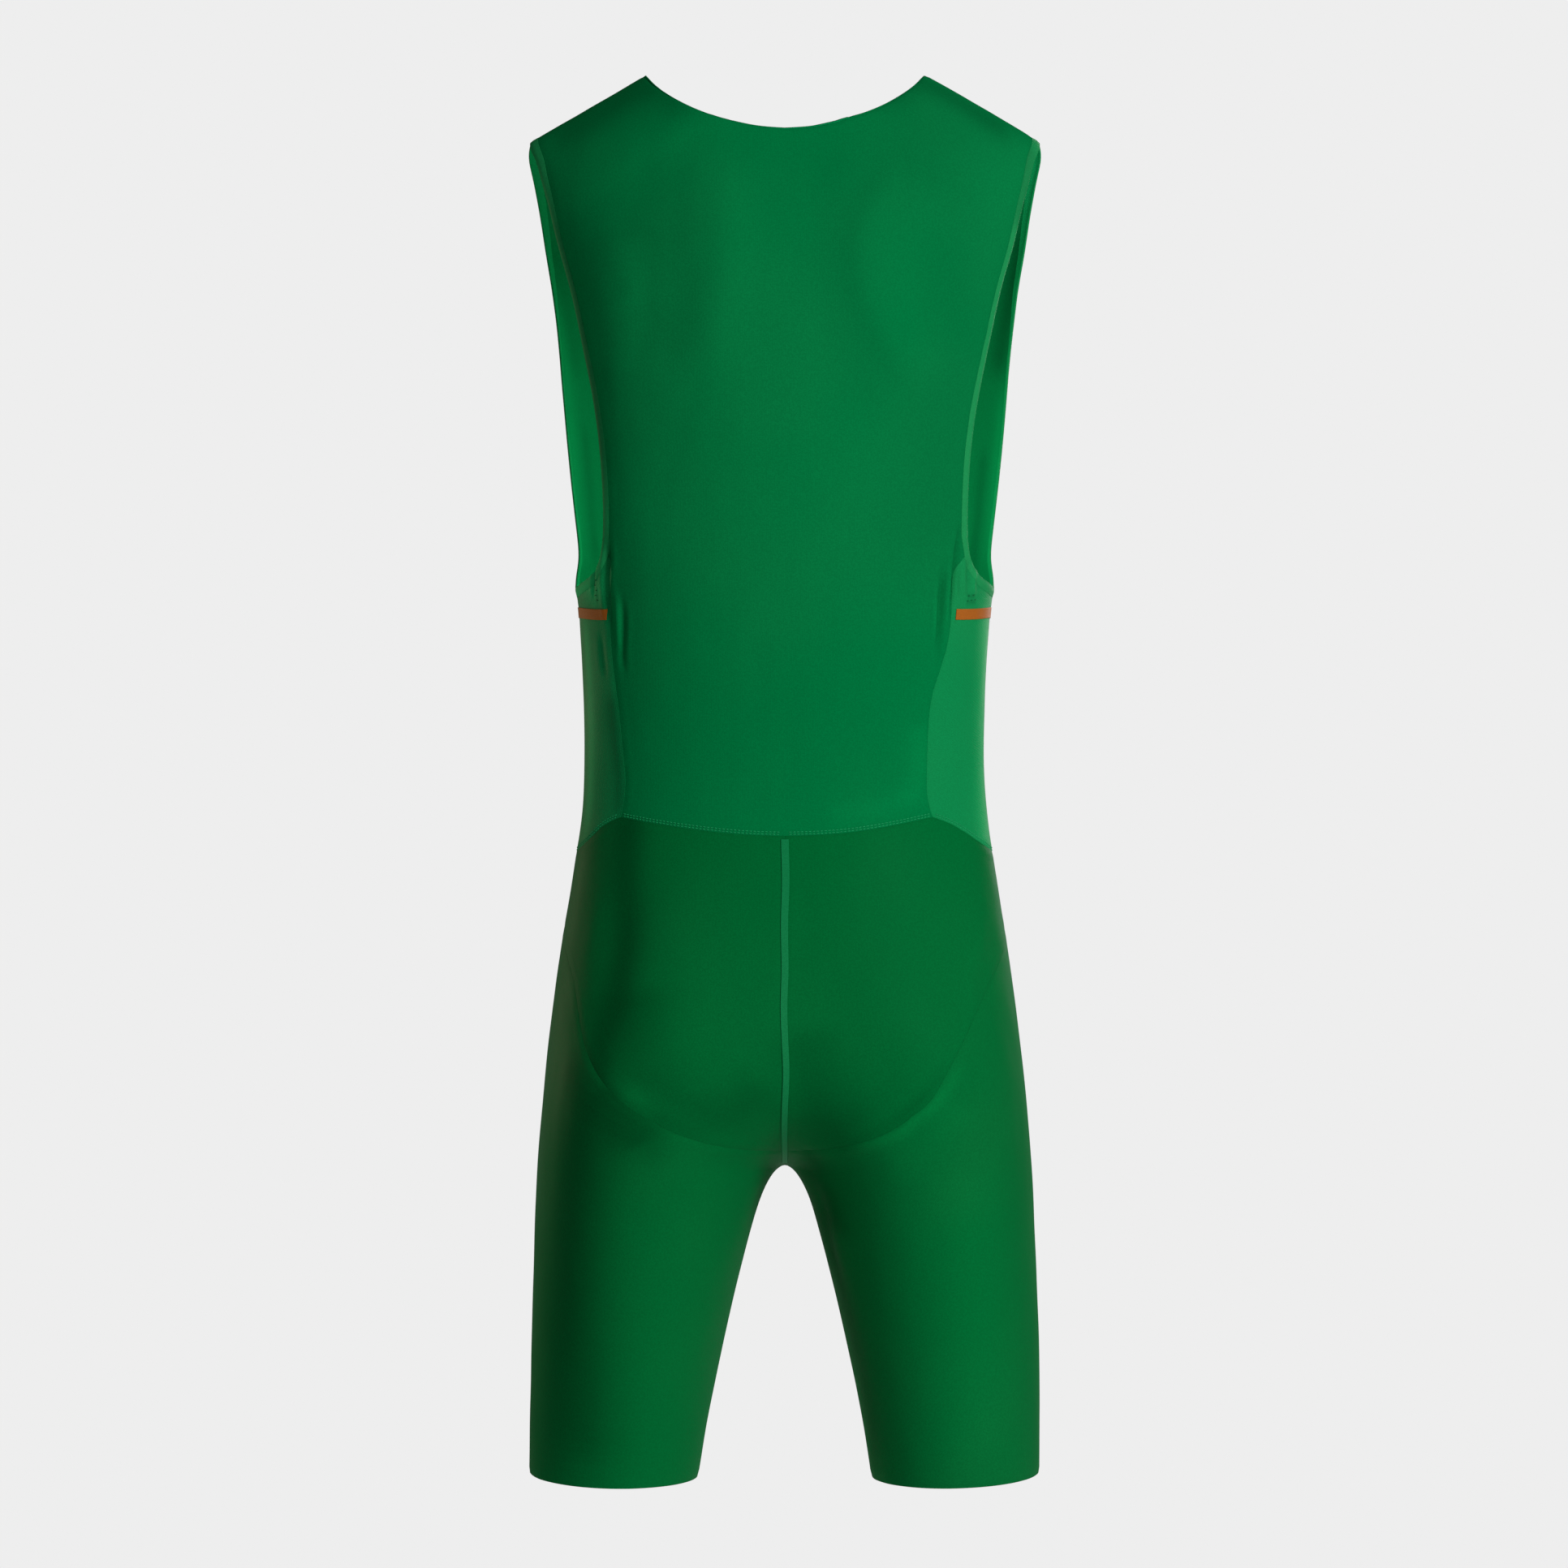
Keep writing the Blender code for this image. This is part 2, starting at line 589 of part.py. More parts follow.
def side_panel_grid(waist, under_arm, back_seam, front_seam):
    """The side panel in three parts: below the orange tape, under it, and above it."""
    shares = 0.5 * (shares_across(waist) + shares_across(under_arm))
    low, high = ROWS_BELOW_TAPE, ROWS_BELOW_TAPE + 1
    bottom_edge = tape_edge(back_seam[low], front_seam[low], shares)
    top_edge = tape_edge(back_seam[high], front_seam[high], shares)
    below = patch(waist, bottom_edge, back_seam[:low + 1], front_seam[:low + 1])
    return below + patch(top_edge, under_arm, back_seam[high:], front_seam[high:])


def side_tape_points(panel):
    """The orange tape on the points of the side panel, ending short of its seams."""
    points = []
    for line in panel[ROWS_BELOW_TAPE:ROWS_BELOW_TAPE + 2]:
        start = line[0].lerp(line[1], SIDE_TAPE_END)
        end = line[-1].lerp(line[-2], SIDE_TAPE_END)
        points.append([start] + line[1:-1] + [end])
    return points


def points_of(grid):
    return [[surface(*spot) for spot in line] for line in grid]


def all_sheets():
    """The grids of points of each piece, by name, for the wearer's left half."""
    back_arm, under_arm, front_arm, band = armhole_seams()
    waist_back, waist_side_back, waist_side_front, waist_front = waist_lines()
    sheets = {"armhole_band": [points_of(band)]}

    # Upper back, upper front and side panel
    back_side = spread([place(*p) for p in BACK_SIDE_SEAM] + [tuple(back_arm[0])])
    back_side = seam_beside_tape(back_side, 0.0)
    front_side = spread([waist_front[0]] + list(FRONT_SIDE_SEAM) + [tuple(front_arm[0])])
    front_side = seam_beside_tape(front_side, SIDE_TAPE_RISE)
    back_neck = spread([place(*p) for p in BACK_NECKLINE[::-1]])
    back_neck = crowded(back_neck, NECK_COLUMNS, NECK_CROWDING)[::-1]
    back_top = np.concatenate((back_neck, shoulder_seam(back_arm[-1], False)[1:]))
    back_centre = centre_rows(0.0, WAIST_BACK[0][1], BACK_NECKLINE[0][1])
    back_edge = np.concatenate((back_side, back_arm[1:]))
    sheets["upper_back"] = [points_of(patch(waist_back, back_top, back_centre, back_edge))]
    front_neck = spread([place(*p, front=True) for p in FRONT_NECKLINE[::-1]])
    front_neck = crowded(front_neck, NECK_COLUMNS, NECK_CROWDING)
    front_top = np.concatenate((shoulder_seam(front_arm[-1], True)[::-1], front_neck[1:]))
    front_centre = centre_rows(2.0, WAIST_FRONT[-1][1], FRONT_NECKLINE[0][1])
    front_edge = np.concatenate((front_side, front_arm[1:]))
    sheets["upper_front"] = [points_of(patch(waist_front, front_top, front_edge, front_centre))]
    waist_side = np.concatenate((waist_side_back, waist_side_front[1:]))
    side_panel = points_of(side_panel_grid(waist_side, under_arm, back_side, front_side))
    sheets["side_panel"] = [side_panel]
    sheets["side_tape"] = [side_tape_points(side_panel)]

    # Seat panel, with a narrow first column under the centre back tape
    seat_top = np.concatenate((add_first_place(waist_back, BACK_TAPE_TOP_HALF_WIDTH), waist_side_back[1:]))
    seat_seam = spread([place(*p) for p in SEAT_SEAM] + list(SEAT_SEAM_AT_SIDE))
    seat_bottom = add_first_place(even(seat_seam, len(seat_top) - 2), BACK_TAPE_BOTTOM_HALF_WIDTH)
    seat_centre = even(straight(seat_seam[0], waist_back[0]), SEAT_ROWS)
    seat_side = even(straight(seat_seam[-1], waist_side_back[-1]), SEAT_ROWS)
    seat = points_of(patch(seat_bottom, seat_top, seat_centre, seat_side))
    sheets["seat_panel"] = [seat]

    # Leg panel: its back and front halves meet at the side line
    hem = hem_line()
    side_mark = int(np.argmin(np.abs(hem[:, 0] - 1.0)))
    hem_back = add_first_place(even(hem[:side_mark + 1], len(seat_bottom) - 2), BACK_TAPE_BOTTOM_HALF_WIDTH)
    hem_front = even(hem[side_mark:], len(waist_side_front) + len(waist_front) - 2)
    inseam = crowded(straight((0.0, CROTCH_Z), (0.0, hem[0][1])), LOWER_LEG_ROWS, CROTCH_CROWDING)[::-1]
    under_seat = even(straight((0.0, CROTCH_Z), seat_seam[0]), BACK_LEG_ROWS)
    side_heights = np.concatenate((
        np.linspace(hem[side_mark][1], SIDE_KNOT_Z, LOWER_LEG_ROWS + 1),
        np.linspace(SIDE_KNOT_Z, seat_seam[-1][1], BACK_LEG_ROWS + 1)[1:],
        np.linspace(seat_seam[-1][1], waist_side_back[-1][1], SIDE_LEG_ROWS + 1)[1:]))
    side_line = np.array([(1.0, z) for z in side_heights])
    centre_front = straight((2.0, CROTCH_Z), waist_front[-1], LONG_LINE_POINTS)
    centre_front = even(centre_front, BACK_LEG_ROWS + SIDE_LEG_ROWS)
    front_inseam = inseam + np.array((2.0, 0.0))
    back_leg = points_of(patch(
        hem_back, seat_bottom, np.concatenate((inseam, under_seat[1:])),
        side_line[:LOWER_LEG_ROWS + BACK_LEG_ROWS + 1], LOWER_LEG_ROWS))
    front_leg = points_of(patch(
        hem_front, np.concatenate((waist_side_front, waist_front[1:])), side_line,
        np.concatenate((front_inseam, centre_front[1:])), LOWER_LEG_ROWS))
    sheets["leg_panel"] = [back_leg, front_leg]

    # Tape over the centre back seam, on the first column of the seat and the leg
    sheets["centre_back_tape"] = [[row[:2] for row in back_leg[LOWER_LEG_ROWS + 1:-1] + seat]]
    return sheets


def clear_scene():
    for thing in list(bpy.data.objects):
        bpy.data.objects.remove(thing, do_unlink=True)


def build():
    green = cloth_material("green_knit", GREEN, 0.55)
    dark = cloth_material("dark_green_knit", DARK_GREEN, 0.5)
    light = cloth_material("light_green_mesh", LIGHT_GREEN, 0.6)
    band = cloth_material("green_binding", BAND_GREEN, 0.55)
    tape = cloth_material("green_tape", TAPE_GREEN, 0.5)
    orange = cloth_material("orange_tape", ORANGE, 0.55)
    sheets = all_sheets()
    on_top = 0.5 * WALL + SEAM_GAP + 0.5 * TAPE_WALL
    add_cloth("upper_back", sheets["upper_back"], WALL, green, whole=True)
    add_cloth("upper_front", sheets["upper_front"], WALL, green, whole=True)
    for word, side in (("left", 1), ("right", -1)):
        add_cloth("side_panel_" + word, sheets["side_panel"], WALL, light, side)
        add_cloth("seat_panel_" + word, sheets["seat_panel"], WALL, dark, side)
        add_cloth("leg_panel_" + word, sheets["leg_panel"], WALL, dark, side)
        add_cloth("armhole_band_" + word, sheets["armhole_band"], BAND_WALL, band, side)
        add_cloth("side_tape_" + word, sheets["side_tape"], TAPE_WALL, orange, side, lift=on_top)
    add_cloth("centre_back_tape", sheets["centre_back_tape"], TAPE_WALL, tape, whole=True, lift=on_top)


clear_scene()
PARTS = bpy.data.collections.new("athletics_bodysuit")
bpy.context.scene.collection.children.link(PARTS)
ROOT = bpy.data.objects.new("bodysuit_root", None)
PARTS.objects.link(ROOT)
build()
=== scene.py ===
"""Looks of the track and field bodysuit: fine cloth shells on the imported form, sewing, knit and light.

Lengths are in millimetres until a mesh is made. The origin is midway between the two points where
the shoulder seams meet the neckline, +Z is up, the wearer faces -Y and the wearer's left is +X. A
place on the garment is a pair (t, z): z is the height and t runs round one half of the body at that
height, 0 at the centre back, 1 at the side line, 2 at the centre front. Below the crotch 0 and 2 are
both the inner leg. The form, seams and edges repeat the sizes of the CAD part.
"""

import math

import bmesh
import bpy
import numpy as np
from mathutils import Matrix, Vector, kdtree, noise


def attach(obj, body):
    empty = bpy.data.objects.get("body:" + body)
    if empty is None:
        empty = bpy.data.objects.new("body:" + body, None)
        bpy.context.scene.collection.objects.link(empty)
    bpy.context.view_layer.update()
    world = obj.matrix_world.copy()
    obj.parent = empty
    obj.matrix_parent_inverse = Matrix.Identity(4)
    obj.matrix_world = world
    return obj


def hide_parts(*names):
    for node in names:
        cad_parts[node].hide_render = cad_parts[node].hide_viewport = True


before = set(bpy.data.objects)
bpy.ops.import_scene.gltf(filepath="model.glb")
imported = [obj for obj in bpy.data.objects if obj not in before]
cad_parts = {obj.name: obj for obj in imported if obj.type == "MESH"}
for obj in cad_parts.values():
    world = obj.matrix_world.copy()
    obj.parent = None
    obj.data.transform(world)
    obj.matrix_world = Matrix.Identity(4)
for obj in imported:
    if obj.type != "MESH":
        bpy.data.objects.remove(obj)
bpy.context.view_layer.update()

MM = 0.001
SAME_POINT = 0.01

# Cloth and seams
CLOTH = 1.0
BAND_CLOTH = 1.2
TAPE_CLOTH = 0.5
BAND_WIDTH = 7.0
SEAM_GAP = 0.04
EDGE_MARGIN = 0.25

# Shoulders and neck
NECK_HALF_WIDTH = 99.0
SHOULDER_TIP_X = 180.4
SHOULDER_TIP_Z = -46.3
BACK_SHOULDER_ROUNDING = 70.0
FRONT_SHOULDER_ROUNDING = 85.0

# Crotch, legs and seat
CROTCH_Z = -770.0
CROTCH_ROUNDING = 20.0
LEGS_BEGIN_Z = -520.0
CROTCH_SLOPE = 0.35
CROTCH_SPREAD = 0.02
HEM_Z = -989.0
HEM_TILT = 0.03
HEM_MIDDLE_X = 120.0

# Slight flare of the side seam just below the armhole
FLARE = 2.3
FLARE_Z = -355.0
FLARE_SPREAD = 13.0

# Cross-sections of the body form: a row for each height
BODY_COLUMNS = ("height", "half_width", "side", "back", "front", "back_power", "front_power")
BODY = (
    (20, 214, 0, 50, -46, 2.10, 2.1),
    (-30, 203, 0, 70, -62, 2.15, 2.1),
    (-60, 194.5, -6, 80, -72, 2.20, 2.1),
    (-100, 181.5, -20, 94, -88, 2.25, 2.1),
    (-130, 173.3, -28, 101.5, -100, 2.30, 2.15),
    (-160, 166.8, -33, 107, -110, 2.30, 2.2),
    (-220, 159.9, -37, 112.5, -122, 2.30, 2.2),
    (-280, 154.6, -33, 112, -123, 2.30, 2.2),
    (-340, 149, -17, 107, -116, 2.30, 2.2),
    (-400, 144.4, -5, 100, -108, 2.30, 2.2),
    (-440, 142.1, -1, 95.5, -104.5, 2.25, 2.2),
    (-480, 141.3, 0, 92.5, -102.5, 2.25, 2.2),
    (-520, 142.9, 0, 93.5, -102.5, 2.25, 2.2),
    (-560, 148.1, 0, 100, -103.5, 2.30, 2.2),
    (-600, 154.3, 0, 111, -104.5, 2.30, 2.2),
    (-650, 161.8, 0, 122.5, -104, 2.30, 2.2),
    (-700, 167.8, 0, 128, -100.5, 2.30, 2.2),
    (-740, 171.8, 0, 124, -96, 2.25, 2.2),
    (-770, 174.3, 0, 115, -92.5, 2.20, 2.2),
    (-810, 176.3, 0, 104, -88.5, 2.15, 2.1),
    (-860, 178.1, 1, 92, -83.5, 2.10, 2.1),
    (-920, 179.6, 2, 80.5, -75.5, 2.05, 2),
    (-990, 180, 3, 70, -67, 2.00, 2),
)

# Half of the space between the legs before the crotch is rounded: height and half width
LEG_SPACE = (
    (-770, 0),
    (-794, 7),
    (-817, 12),
    (-863, 21.9),
    (-909, 31.3),
    (-955, 39.6),
    (-990, 44.6),
)

# Seam lines and edges on the back: x from the centre and z from the neck
BACK_NECKLINE = ((0, -47.5), (17.6, -46.2), (39, -41.5), (60.7, -33.7), (80.7, -21.3), (99, 0))
FRONT_NECKLINE = ((0, -92), (32, -88), (60, -72), (82, -40), (99, 0))
ARMHOLE_BACK_EDGE = (
    (180.4, -46.3), (178.8, -54.5), (174.8, -64), (170.4, -80), (166, -96), (160, -121.6),
    (151.7, -151.3), (145.1, -179.8), (138.8, -209.2), (133.2, -238.1), (129.3, -266.8),
    (127.1, -295.2), (126.6, -320), (127.4, -337), (130.2, -347.5), (134.8, -354.5), (141, -358.8),
)
WAIST_SIDE_END = (145.3, -549)
WAIST_FRONT_SIDE = ((101.4, -523.4), (113, -526.5), (130, -537))
WAIST_FRONT = ((101.4, -523.4), (75, -528.4), (48.4, -532), (0, -534))

# The seams that the wearer's left (1) and right (-1) halves have at slightly different places
WAIST_BACK = {
    1: ((0, -536.8), (25, -536), (48.4, -534), (81, -529.8), (114, -524)),
    -1: ((0, -536.8), (25, -536), (48.4, -533.9), (75, -529.6), (101.8, -524)),
}
WAIST_BACK_SIDE = {
    1: ((114, -524), (126.5, -530), (135, -538)),
    -1: ((101.8, -524), (114, -528.6), (130, -538.2)),
}
BACK_SIDE_SEAM = {
    1: ((114, -524), (111.6, -512), (110.6, -500), (111.8, -484), (115, -453),
        (119, -419), (121, -390), (120.6, -367), (119.6, -353)),
    -1: ((101.8, -524), (98.8, -514), (97.7, -497), (98.6, -464), (101, -441),
         (106, -424), (111, -407), (114.4, -387), (116.2, -367), (118, -353)),
}
SEAT_SEAM = (
    (0, -755), (28, -752), (55, -745), (79, -735), (100, -722), (116, -706),
    (128.5, -686), (136.5, -664), (143.5, -640),
)
ARMHOLE_FRONT_TOP = (
    (167.4, -147.5), (171.2, -124), (174.6, -101), (178.5, -77.5), (180.8, -66), (182.5, -55.5),
    (181.9, -50),
)

# How far out the seat seam sits from its usual place on the wearer's left (1) and right (-1)
SEAT_SEAM_SHIFT = {1: 6.5, -1: -12.0}
SEAT_SEAM_SHIFT_Z = -692.0
SEAT_SEAM_SHIFT_SPREAD = 45.0

# Lines that run over the sides, as places (t, z)
ARMHOLE_UNDERARM = (
    (1, -360.5), (1.05, -356.5), (1.083, -345), (1.085, -328), (1.06, -300), (1.035, -265),
    (1.022, -230), (1.026, -200), (1.042, -172),
)
FRONT_SIDE_SEAM = ((1.43, -490), (1.35, -445), (1.26, -405), (1.18, -375))
SEAT_SEAM_AT_SIDE = ((0.88, -612), (1, -598))
TOP_OF_BACK_SIDE_SEAM_Z = -343.0
TOP_OF_FRONT_SIDE_SEAM_Z = -352.0

# Orange tape across each side panel and the tape over the centre back seam
SIDE_TAPE_TOP_Z = -379.6
SIDE_TAPE_HEIGHT = 7.4
SIDE_TAPE_RISE = 4.0
BACK_TAPE_BELOW_WAIST = 1.0
BACK_TAPE_ABOVE_CROTCH = 5.0
BACK_TAPE_TOP_HALF_WIDTH = 2.7
BACK_TAPE_BOTTOM_HALF_WIDTH = 2.0
BACK_TAPE_COLUMNS = 6
BACK_TAPE_STEP = 2.0
BACK_TAPE_WANDER = 1.6
BACK_TAPE_WANDER_STEP = 45.0
SIDE_TAPE_COLUMNS_LEFT_OFF = 3
ON_TOP = 0.5 * CLOTH + 0.5 * TAPE_CLOTH + 0.1

# Mesh cells across and along each piece
NECK_COLUMNS = 44
SHOULDER_COLUMNS = 28
NECK_SHARE_OF_WAIST = 0.72
ROWS_BELOW_TAPE = 60
TAPE_ROWS = 4
ROWS_ABOVE_TAPE = 18
ARMHOLE_ROWS = 105
SHOULDER_ROWS = 26
HALF_SIDE_COLUMNS = 36
BAND_ROWS = 7
SEAT_ROWS = 74
LOWER_LEG_ROWS = 66
BACK_LEG_ROWS = 44
SIDE_LEG_ROWS = 20
SIDE_KNOT_Z = -735.0
SIDE_FADE = 5
CROTCH_CROWDING = 1.4
NECK_CROWDING = 1.2
RING_STEPS = 480
LINE_POINTS = 480

# Steps in t and z used to measure the surface, longest steps towards a wanted point and their count
SMALL_T = 0.004
SMALL_Z = 0.3
LONGEST_T = 0.03
LONGEST_Z = 4.0
APPROACHES = 8

# Heights at which the form is worked out, and the reach above the crotch where they lie closer
FORM_HEIGHTS = (-1005, 31)
CLOSE_ABOVE_CROTCH = 12.0
CLOSE_HEIGHTS = 41

# A distance beyond any on the garment, and the sharpest corner that an edge is drawn back at
FAR = 1000.0
SHARPEST_CORNER = 0.25

# Folds pressed into the cloth, each a path of x and z on the back or the front. The depth is that of
# a trough, or of a ridge where it is below zero, and the width is half of the fold's own width.
FOLD_COLUMNS = ("side", "front", "depth", "width", "path")
FOLDS = (
    # Gathers beside the lowest point of the wearer's right armhole, from the armhole to the seam
    (-1, 0, 2.8, 2.4, ((121.5, -314), (119.4, -336), (116.6, -356), (114.4, -372), (113.4, -390))),
    (-1, 0, 2.4, 2.7, ((109, -338), (108.4, -362), (107, -384), (105.8, -406), (106.4, -424))),
    (-1, 0, -1.2, 2.2, ((112.8, -350), (111.8, -372), (110.4, -394))),
    (-1, 0, -1, 2, ((103.4, -366), (102.4, -386), (102.6, -408))),
    (-1, 0, 0.9, 2.4, ((126.5, -352), (127, -366), (126.2, -374))),
    (-1, 0, 1.2, 1.8, ((128.4, -342), (126.2, -354), (127.6, -366))),
    (-1, 0, 1, 1.8, ((121.4, -348), (119.8, -361), (121.2, -374))),
    (-1, 0, -1, 2.2, ((132.6, -350), (130.6, -361), (131.8, -372))),
    # The same on the wearer's left
    (1, 0, 3.2, 2.9, ((124.6, -324), (122.6, -344), (123.6, -360), (122.4, -378), (119, -396))),
    (1, 0, -1.1, 2.2, ((116.6, -362), (115.4, -380), (114.8, -398), (113, -416))),
    (1, 0, 1.5, 2.4, ((112.8, -370), (111.4, -390), (112.2, -410), (110.6, -428))),
    (1, 0, 1.3, 1.7, ((131.6, -345), (133, -354), (133.6, -366), (133.4, -374))),
    (1, 0, 1, 3, ((128, -392), (127, -410), (124, -430))),
    # Crests of the shoulder blades
    (-1, 0, -1.5, 17, ((94, -56), (62, -105), (66, -180), (98, -236))),
    (1, 0, -1.3, 17, ((62, -56), (43, -105), (47, -180), (72, -236))),
    # Hollow of the left hip, creases under the seat and at the right hip
    (1, 0, 2.6, 17, ((108, -556), (113, -620), (126, -700))),
    (-1, 0, -1.6, 5, ((34, -754), (62, -743), (84, -731), (102, -713), (115, -692))),
    (1, 0, -1.2, 6, ((131, -696), (110, -711), (86, -722), (44, -738))),
    (-1, 0, -1.1, 8, ((140, -590), (131, -620), (121, -662))),
    (-1, 0, 1.3, 9, ((22, -772), (30, -810), (42, -860))),
    # Gathers beside both armholes on the front
    (1, 1, 1.7, 3.8, ((141, -306), (137.4, -334), (134, -360), (130, -396))),
    (1, 1, 1.3, 4.2, ((131, -322), (127, -362), (122, -414))),
    (1, 1, -0.8, 3.2, ((135.6, -330), (130.4, -362), (126, -400))),
    (-1, 1, 1.6, 3.8, ((140, -308), (136.8, -340), (132.4, -380))),
    (-1, 1, 1.4, 4, ((129, -332), (126.4, -362), (122.8, -398), (120.8, -430))),
    # Soft drape of the chest and creases that spread from the crotch and the hips of the front
    (1, 1, 1.2, 14, ((118, -150), (92, -196), (58, -224))),
    (-1, 1, 1, 15, ((124, -176), (96, -214), (70, -236))),
    (1, 1, 1.6, 7, ((14, -752), (44, -728), (86, -700), (122, -686))),
    (1, 1, 1.1, 6, ((20, -726), (52, -700), (84, -680))),
    (-1, 1, 1.4, 7, ((12, -744), (40, -722), (74, -704), (104, -694))),
    (-1, 1, 1.2, 8, ((26, -776), (62, -756), (98, -744))),
    (1, 1, 1.4, 12, ((128, -566), (120, -610), (124, -660))),
    (-1, 1, 1.2, 11, ((124, -572), (118, -622), (126, -664))),
)

# Painted light and shade: places where the knit of all cloth, or of the cloth whose name starts so, is
# painted darker for shade or lighter for light that falls there, as on the shoulders, the hips, the
# edges of the side panels and the inside lit through the cloth. The inner faces of a cloth go by its
# name after the word inside.
PAINTED_SHADING_COLUMNS = ("cloth", "side", "front", "painted_shading", "width", "path")
PAINTED_SHADING = (
    # Shoulders and shoulder blades
    ("", 1, 0, -0.22, 17, ((168, -58), (130, -34), (92, -16), (60, -46))),
    ("", -1, 0, -0.24, 15, ((168, -54), (130, -28), (92, -10), (60, -40))),
    ("upper", 1, 0, -0.09, 30, ((82, -50), (76, -130), (70, -226))),
    ("upper", 1, 0, 0.09, 13, ((110, -120), (105, -147), (103, -176))),
    ("upper", -1, 0, -0.07, 9, ((82, -60), (46, -119), (57, -192), (94, -240))),
    ("upper", -1, 0, -0.13, 46, ((90, 20), (104, -150), (96, -400))),
    ("upper", -1, 0, -0.07, 17, ((30, -40), (32, -110), (42, -190), (70, -262))),
    ("upper", -1, 0, 0.08, 22, ((112, -80), (90, -126), (92, -190), (106, -236))),
    ("upper", 1, 0, 0.05, 13, ((36, -56), (36, -140), (42, -236))),
    ("upper", -1, 0, 0.13, 9, ((93, -455), (92, -492), (88, -522))),
    ("upper", -1, 0, 0.10, 9, ((26, -524), (60, -518), (92, -508))),
    # Left edge of the back and of its armhole band
    ("upper", 1, 0, 0.11, 13, ((114, -162), (110, -186), (110, -222))),
    ("upper", 1, 0, 0.20, 32, ((104, -120), (102, -200), (104, -290), (100, -360))),
    ("upper", 1, 0, -0.10, 7, ((126, -200), (122, -250), (119, -296))),
    ("armhole", 1, 0, -0.36, 7, ((168, -80), (148, -150), (136, -209), (127, -267), (124.5, -310))),
    ("armhole", -1, 0, -0.24, 9, ((172, -46), (168, -74), (160, -120))),
    ("armhole", 1, 0, 0.14, 3.5, ((124, -308), (120.5, -336), (121.8, -352))),
    # Side panels
    ("side_panel", 1, 0, -0.34, 7.5, ((122, -430), (119, -460), (114, -505), (117, -534))),
    ("side_panel", -1, 0, 0.40, 17, ((144, -350), (140, -430), (139, -510), (144, -570))),
    ("side_panel", 1, 0, 0.50, 8, ((142, -370), (137, -430), (136, -500), (142, -550))),
    ("side_panel", 1, 0, 0.80, 12, ((149, -346), (138, -360), (124, -374))),
    ("armhole", 1, 0, 0.75, 11, ((150, -366), (136, -352), (126, -332))),
    ("side_panel", 1, 0, -0.34, 1.8, ((132.8, -350), (131.4, -362), (131, -377))),
    ("side_panel", -1, 0, -0.28, 1.6, ((125.6, -371), (128.4, -370.2), (131.8, -369.8))),
    ("side_panel", -1, 0, -0.24, 1.6, ((124.6, -375.2), (128, -374.6), (133, -373.6))),
    # Left hip and seat
    ("seat", 1, 0, -0.40, 14.5, ((104, -478), (109, -540), (113, -612), (126, -684),
                                 (120, -714), (96, -734))),
    ("seat", 1, 0, -0.20, 24, ((100, -634), (98, -676), (92, -716))),
    ("seat", -1, 0, -0.20, 24, ((10, -660), (26, -712), (56, -744))),
    ("seat", -1, 0, -0.09, 4, ((36, -748), (74, -731), (100, -708), (112, -684))),
    ("seat", 1, 0, -0.26, 20, ((4, -700), (40, -724), (68, -724), (104, -706))),
    # Legs
    ("leg", 1, 0, -0.36, 30, ((112, -690), (132, -730), (140, -784), (144, -838),
                                (143, -905), (141, -960), (141, -1010))),
    ("leg", 1, 0, -0.22, 15, ((150, -680), (130, -722), (102, -742), (70, -756))),
    ("leg", 1, 0, -0.26, 19, ((122, -700), (108, -722), (90, -748))),
    ("leg", -1, 0, -0.26, 15, ((6, -750), (22, -766), (30, -786), (38, -820))),
    ("leg", -1, 0, 0.16, 5, ((42, -752), (78, -738), (106, -714), (122, -684))),
    ("leg", -1, 0, -0.26, 15, ((20, -766), (34, -830), (58, -930), (66, -1000))),
    ("leg", -1, 0, 0.13, 30, ((118, -730), (126, -850), (126, -1000))),
    ("leg", -1, 0, 0.11, 17, ((64, -764), (94, -744), (122, -712))),
    # Inside of the front beside both armholes
    ("inside_upper_front", 1, 1, 0.34, 12, ((170.7, -120), (164.3, -160), (157.5, -220),
                                              (152.3, -280), (148.4, -340), (148, -380))),
    ("inside_upper_front", -1, 1, 0.30, 10, ((160, -200), (156, -240), (152.3, -280),
                                               (148.4, -340), (148, -380))),
    ("inside_upper_front", 1, 1, -0.16, 5, ((148, -230), (142, -290), (139, -350))),
    ("inside_upper_front", -1, 1, -0.20, 6, ((146, -250), (141, -300), (138, -356))),
    ("inside_upper_front", 1, 1, -0.12, 9, ((168, -100), (160, -150), (150, -215))),
    ("inside_upper_front", -1, 1, -0.34, 12, ((170, -90), (163, -150), (152, -215))),
    # The front
    ("", 1, 1, -0.16, 16, ((168, -58), (130, -34), (94, -20))),
    ("", -1, 1, -0.14, 16, ((168, -58), (130, -34), (94, -20))),
    ("upper", 1, 1, -0.08, 22, ((120, -150), (88, -204), (50, -232))),
    ("upper", -1, 1, -0.07, 24, ((126, -176), (94, -222), (60, -244))),
    ("leg", 1, 1, -0.16, 20, ((128, -560), (122, -640), (138, -760), (146, -880))),
    ("leg", -1, 1, -0.14, 20, ((126, -566), (122, -640), (136, -760), (144, -900))),
)

# How folds and painted light and shade fade: a taper is the share of the length where one fades in and
# out, and a reach is in widths. A fold is painted darker, painted shade in its hollow, and the cloth is
# raised beside it, at a distance in widths.
PATH_STEPS = 40
FOLD_TAPER = 0.35
FOLD_REACH = 4.0
FOLD_SHADE = 0.20
FOLD_SHOULDER = 0.18
FOLD_SHOULDER_AT = 2.2
PAINTED_SHADING_TAPER = 0.2
PAINTED_SHADING_REACH = 3.0
